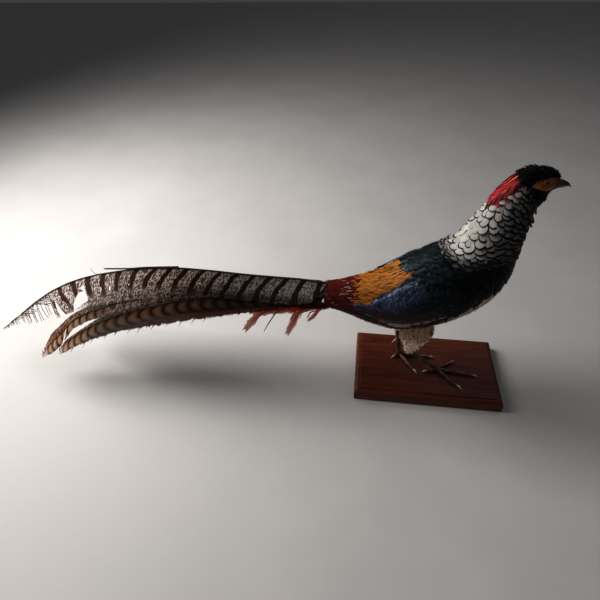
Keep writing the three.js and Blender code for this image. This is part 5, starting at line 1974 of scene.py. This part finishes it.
def make_horn(name, line, radii, material, floor=None):
    """A claw or spur: a curved cone with a ridge on top and a groove below."""
    count, sides = 26, 14
    share = np.linspace(0, 1, count)
    turn = full_turn(sides)
    radius = np.interp(share, np.linspace(0, 1, len(radii)), radii)[:, None]
    ridge, groove = np.clip(np.cos(turn), 0, 1) ** 4, np.clip(-np.cos(turn), 0, 1) ** 4
    radius = radius * (1 + 0.12 * ridge - 0.10 * groove)
    rings = closed_rings(tube(smooth_line(line, count), radius, sides, flat_below=floor))
    along = np.concatenate([[0, 0], share, [1, 1]])[:, None]
    look = pile(along + 0 * turn, turn / (2 * np.pi) + 0 * along)
    piece = make_mesh(name, to_row(rings), grid_quads(*rings.shape[:2], closed=True), {"Vane": look})
    finish_piece(piece, [material], (name,))


def build_claws():
    """All the claws and the two spurs."""
    material = claw_material()
    for side, _ in SIDES:
        leg = LEGS[side]
        for name in leg["toes"]:
            _, at, end, reach, claw = toe_line(leg, name)
            line = [at(end - 0.6, 3.0), at(end + claw * 0.45, 4.1), at(reach, 0.75)]
            make_horn(f"claw_{name}_{side}", line, [2.0, 1.75, 1.3, 0.3], material, FOOT_LEVEL)
        root = leg_line(side, np.array(0.38))
        spur = np.array(leg["spur"], float)
        line = [root + spur * share + np.array([0, 0, 3 * share**2]) for share in (0.16, 0.55, 1.0)]
        make_horn(f"spur_{side}", line, [2.6, 2.0, 1.4, 0.35], material)


# ---- the board

@effect("Mahogany grain", {"Middle": (0.2, 0.05, 0.03, 1), "Dark": (0.05, 0.01, 0.01, 1),
                           "Light": (0.3, 0.1, 0.05, 1)}, ("Colour", "Pores", "Streaks"))
def mahogany_grain(tree, middle, dark, light):
    """Mahogany: long streaks, short pores and a slow change of tone along the board."""
    x, y, z = tree.split(tree.place())
    across = y + z * 0.8
    streaks = tree.noise(tree.vector(x * 2.2, across * 34.0, z), 3.2, 5.0, 0.62)
    ribbon = tree.noise(tree.vector(x * 9.0, across * 26.0, 7.0), 2.0)
    pores = tree.noise(tree.vector(x * 70.0, across * 900.0, z * 500.0), 1.6, 2.0, 0.6)
    pore = tree.ramp(pores, 0.60, 0.68)
    tone = tree.mix(tree.ramp(streaks, 0.34, 0.66), dark, light)
    tone = tree.mix(0.55, tone, middle)
    tone = tree.mix(tree.ramp(ribbon, 0.4, 0.7) * 0.35, tone, light)
    return tree.mix(pore * 0.6, tone, dark), pore, streaks


def board_material():
    """Stained mahogany under worn varnish, lighter along the arrises."""
    stage = settings("stage")
    look = Finish("Mahogany board", 0.2, Coat_Weight=0.18, Coat_Roughness=0.22)
    colour, pores, _ = mahogany_grain(look, stage.wood_mid, stage.wood_dark, stage.wood_light)
    scuffs = look.noise(look.place(), 60.0, 4.0, 0.7)
    share = look.marking("Fac") * look.ramp(scuffs, 0.42, 0.62, 0.15, 0.8)
    return look.done(look.mix(share, colour, stage.wood_light), (scuffs, 0.3, 0.7, 0.30, 0.46),
                     (pores, 0.12, 0.0003))


def board_profile():
    """Heights and insets of the board's edge from the underside up, and how worn each is."""
    step = OVOLO_WIDTH + FILLET_WIDTH
    rows = [(0.0, 0.8, 0.2), (0.35, 0.2, 0.4), (0.8, 0.0, 0.2), (BOARD_EDGE - ARRIS, 0.0, 0.1),
            (BOARD_EDGE - 0.15, 0.08, 1.0)]
    for angle in np.linspace(0, np.pi / 2, 14):
        rows.append((BOARD_EDGE + (OVOLO_TOP - BOARD_EDGE) * math.sin(angle),
                     0.12 + (OVOLO_WIDTH - 0.12) * (1 - math.cos(angle)),
                     0.15 + 0.35 * math.sin(angle) ** 6))
    rows += [(OVOLO_TOP, step - 0.15, 0.0), (OVOLO_TOP + 0.15, step, 0.0)]
    for angle in np.linspace(0, np.pi / 2, 5):
        rows.append((BOARD_SIZE[2] - ARRIS + ARRIS * math.sin(angle),
                     step + ARRIS * (1 - math.cos(angle)), 1.0))
    return rows + [(BOARD_SIZE[2], step + 2.5, 0.0)]


def build_board():
    """The moulded board, with softened corners and arrises."""
    radius = 1.6
    points, wear = [], []
    for height, inset, worn in board_profile():
        half_x, half_y = BOARD_SIZE[0] / 2 - inset - radius, BOARD_SIZE[1] / 2 - inset - radius
        for quarter, (sx, sy) in enumerate(((1, 1), (-1, 1), (-1, -1), (1, -1))):
            for turn in np.linspace(0, np.pi / 2, 5) + quarter * np.pi / 2:
                points.append((sx * half_x + radius * math.cos(turn),
                               sy * half_y + radius * math.sin(turn), height))
                wear.append([worn] * 4)
    piece = closed_object("board", np.array(points) * MM, len(points) // 20, 20)
    mark_points(piece.data, np.array(wear))
    piece.data.shade_smooth()
    piece.modifiers.new("Sharp arrises", "EDGE_SPLIT").split_angle = math.radians(40)
    finish_piece(piece, [board_material()], ("mount_base",))


# ---- stage

def floor_material():
    """A plain floor with a faint cloudiness."""
    look = Finish("Pale floor", 0.3)
    cloud = look.noise(look.place(), 5.0, 4.0, 0.6)
    return look.done(look.toned(settings("stage").floor_pale, look.ramp(cloud, 0.3, 0.7, 0.97, 1.03)),
                     (cloud, 0.3, 0.7, 0.55, 0.65))


def build_floor():
    mesh = bpy.data.meshes.new("floor")
    mesh.from_pydata([(-4, -4, 0), (4, -4, 0), (4, 4, 0), (-4, 4, 0)], [], [(0, 1, 2, 3)])
    mesh.materials.append(floor_material())
    add_object("floor", mesh)


def add_lamp(name, place, aim, size, power, tint):
    light = bpy.data.lights.new(name, "AREA")
    light.shape = "RECTANGLE"
    light.size, light.size_y = size
    light.energy = power
    light.color = tint
    lamp = add_object(name, light)
    lamp.location = place
    lamp.rotation_euler = (Vector(aim) - Vector(place)).to_track_quat("-Z", "Y").to_euler()


def build_lights():
    power = settings("stage").lamp_power
    add_lamp("window", (-1.30, 0.28, 1.10), (-0.25, 0.0, 0.1), (1.0, 0.9), power, (1.0, 0.985, 0.965))
    add_lamp("ceiling", (0.9, 0.9, 1.5), (0.35, -0.15, 0.0), (1.6, 1.2), power * 0.06, (0.98, 0.99, 1.0))
    add_lamp("low", (-0.9, -1.1, 0.25), (0.0, 0.0, 0.10), (0.6, 0.4), power * 0.02, (1.0, 0.985, 0.97))
    add_lamp("fill", (0.4, -1.6, 1.5), (-0.2, 0.0, 0.15), (1.8, 1.4), power * 0.04, (0.97, 0.985, 1.0))
    world = bpy.data.worlds.new("studio")
    bpy.context.scene.world = world
    world.use_nodes = True
    background = world.node_tree.nodes["Background"]
    background.inputs["Color"].default_value = (0.93, 0.95, 1.0, 1.0)
    background.inputs["Strength"].default_value = 0.075


def set_plain_colours():
    """Shows colours as they are, with no film curve over them."""
    view = bpy.context.scene.view_settings
    view.view_transform = "Standard"
    view.look = "None"
    view.exposure = 0.15
    view.gamma = 0.82


def build_camera():
    forward, up = Vector(CAMERA_FORWARD).normalized(), Vector(CAMERA_UP).normalized()
    right = forward.cross(up)
    camera = add_object("camera", bpy.data.cameras.new("camera"))
    turned = Matrix((right, up, -forward)).transposed().to_4x4()
    camera.matrix_world = Matrix.Translation(CAMERA_PLACE) @ turned
    camera.data.lens = CAMERA_LENS
    camera.data.sensor_width = CAMERA_SENSOR
    camera.data.sensor_fit = "HORIZONTAL"
    camera.data.clip_start = 0.01
    bpy.context.scene.camera = camera


# ---- operators

class PHEASANT_OT_skin(Operator):
    """Build the one skin that carries the coat"""

    bl_idname = "pheasant.skin"
    bl_label = "Skin"

    def execute(self, context):
        build_skin()
        return {"FINISHED"}


class PHEASANT_OT_head(Operator):
    """Build the eyes, the bill, and the crown and throat feathers"""

    bl_idname = "pheasant.head"
    bl_label = "Head"

    def execute(self, context):
        build_eyes()
        build_bill()
        build_crown()
        build_throat()
        return {"FINISHED"}


class PHEASANT_OT_crest(Operator):
    """Build the red crest"""

    bl_idname = "pheasant.crest"
    bl_label = "Crest"

    def execute(self, context):
        build_crest()
        return {"FINISHED"}


class PHEASANT_OT_cape(Operator):
    """Build the white and black cape"""

    bl_idname = "pheasant.cape"
    bl_label = "Cape"

    def execute(self, context):
        build_cape()
        return {"FINISHED"}


class PHEASANT_OT_body_coat(Operator):
    """Build the feathers of the back, breast, belly, rump, coverts and thighs"""

    bl_idname = "pheasant.body_coat"
    bl_label = "Body feathers"

    def execute(self, context):
        build_mantle()
        build_breast()
        build_belly()
        build_rump()
        build_coverts()
        build_thighs()
        return {"FINISHED"}


class PHEASANT_OT_wings(Operator):
    """Build both folded wings"""

    bl_idname = "pheasant.wings"
    bl_label = "Wings"

    def execute(self, context):
        for side, sign in SIDES:
            build_wing(side, sign)
        return {"FINISHED"}


class PHEASANT_OT_tail(Operator):
    """Build the long tail feathers"""

    bl_idname = "pheasant.tail"
    bl_label = "Tail"

    def execute(self, context):
        build_tail()
        return {"FINISHED"}


class PHEASANT_OT_plumes(Operator):
    """Build the orange plumes and the coverts under the tail"""

    bl_idname = "pheasant.plumes"
    bl_label = "Plumes"

    def execute(self, context):
        build_plumes()
        build_under_coverts()
        return {"FINISHED"}


class PHEASANT_OT_claws(Operator):
    """Build the claws and spurs"""

    bl_idname = "pheasant.claws"
    bl_label = "Claws"

    def execute(self, context):
        build_claws()
        return {"FINISHED"}


class PHEASANT_OT_board(Operator):
    """Build the moulded mahogany board"""

    bl_idname = "pheasant.board"
    bl_label = "Board"

    def execute(self, context):
        build_board()
        return {"FINISHED"}


class PHEASANT_OT_stage(Operator):
    """Set up the floor, the lamps and the camera"""

    bl_idname = "pheasant.stage"
    bl_label = "Stage"

    def execute(self, context):
        build_floor()
        build_lights()
        build_camera()
        set_plain_colours()
        return {"FINISHED"}


OPERATORS = (
    PHEASANT_OT_skin, PHEASANT_OT_head, PHEASANT_OT_crest, PHEASANT_OT_cape, PHEASANT_OT_body_coat,
    PHEASANT_OT_wings, PHEASANT_OT_tail, PHEASANT_OT_plumes, PHEASANT_OT_claws, PHEASANT_OT_board,
    PHEASANT_OT_stage,
)

SETTINGS = {
    "pheasant_plumage": PheasantPlumage,
    "pheasant_tail": PheasantTail,
    "pheasant_head": PheasantHead,
    "pheasant_stage": PheasantStage,
}


class PHEASANT_PT_panel(Panel):
    """Lists the pheasant's pieces and their settings"""

    bl_idname = "PHEASANT_PT_panel"
    bl_label = "Mounted pheasant"
    bl_space_type = "VIEW_3D"
    bl_region_type = "UI"
    bl_category = "Pheasant"

    def draw(self, context):
        for operator in OPERATORS:
            self.layout.operator(operator.bl_idname)
        for name, group in SETTINGS.items():
            box = self.layout.box()
            for label in group.__annotations__:
                box.prop(getattr(context.scene, name), label)


add_classes, remove_classes = bpy.utils.register_classes_factory(
    (*SETTINGS.values(), *OPERATORS, PHEASANT_PT_panel))


def register():
    add_classes()
    for name, group in SETTINGS.items():
        setattr(Scene, name, PointerProperty(type=group))


def unregister():
    for name in SETTINGS:
        delattr(Scene, name)
    remove_classes()


def main():
    register()
    bpy.ops.pheasant.skin()
    bpy.ops.pheasant.head()
    bpy.ops.pheasant.crest()
    bpy.ops.pheasant.cape()
    bpy.ops.pheasant.body_coat()
    bpy.ops.pheasant.wings()
    bpy.ops.pheasant.tail()
    bpy.ops.pheasant.plumes()
    bpy.ops.pheasant.claws()
    bpy.ops.pheasant.board()
    bpy.ops.pheasant.stage()
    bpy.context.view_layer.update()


if __name__ == "__main__":
    main()
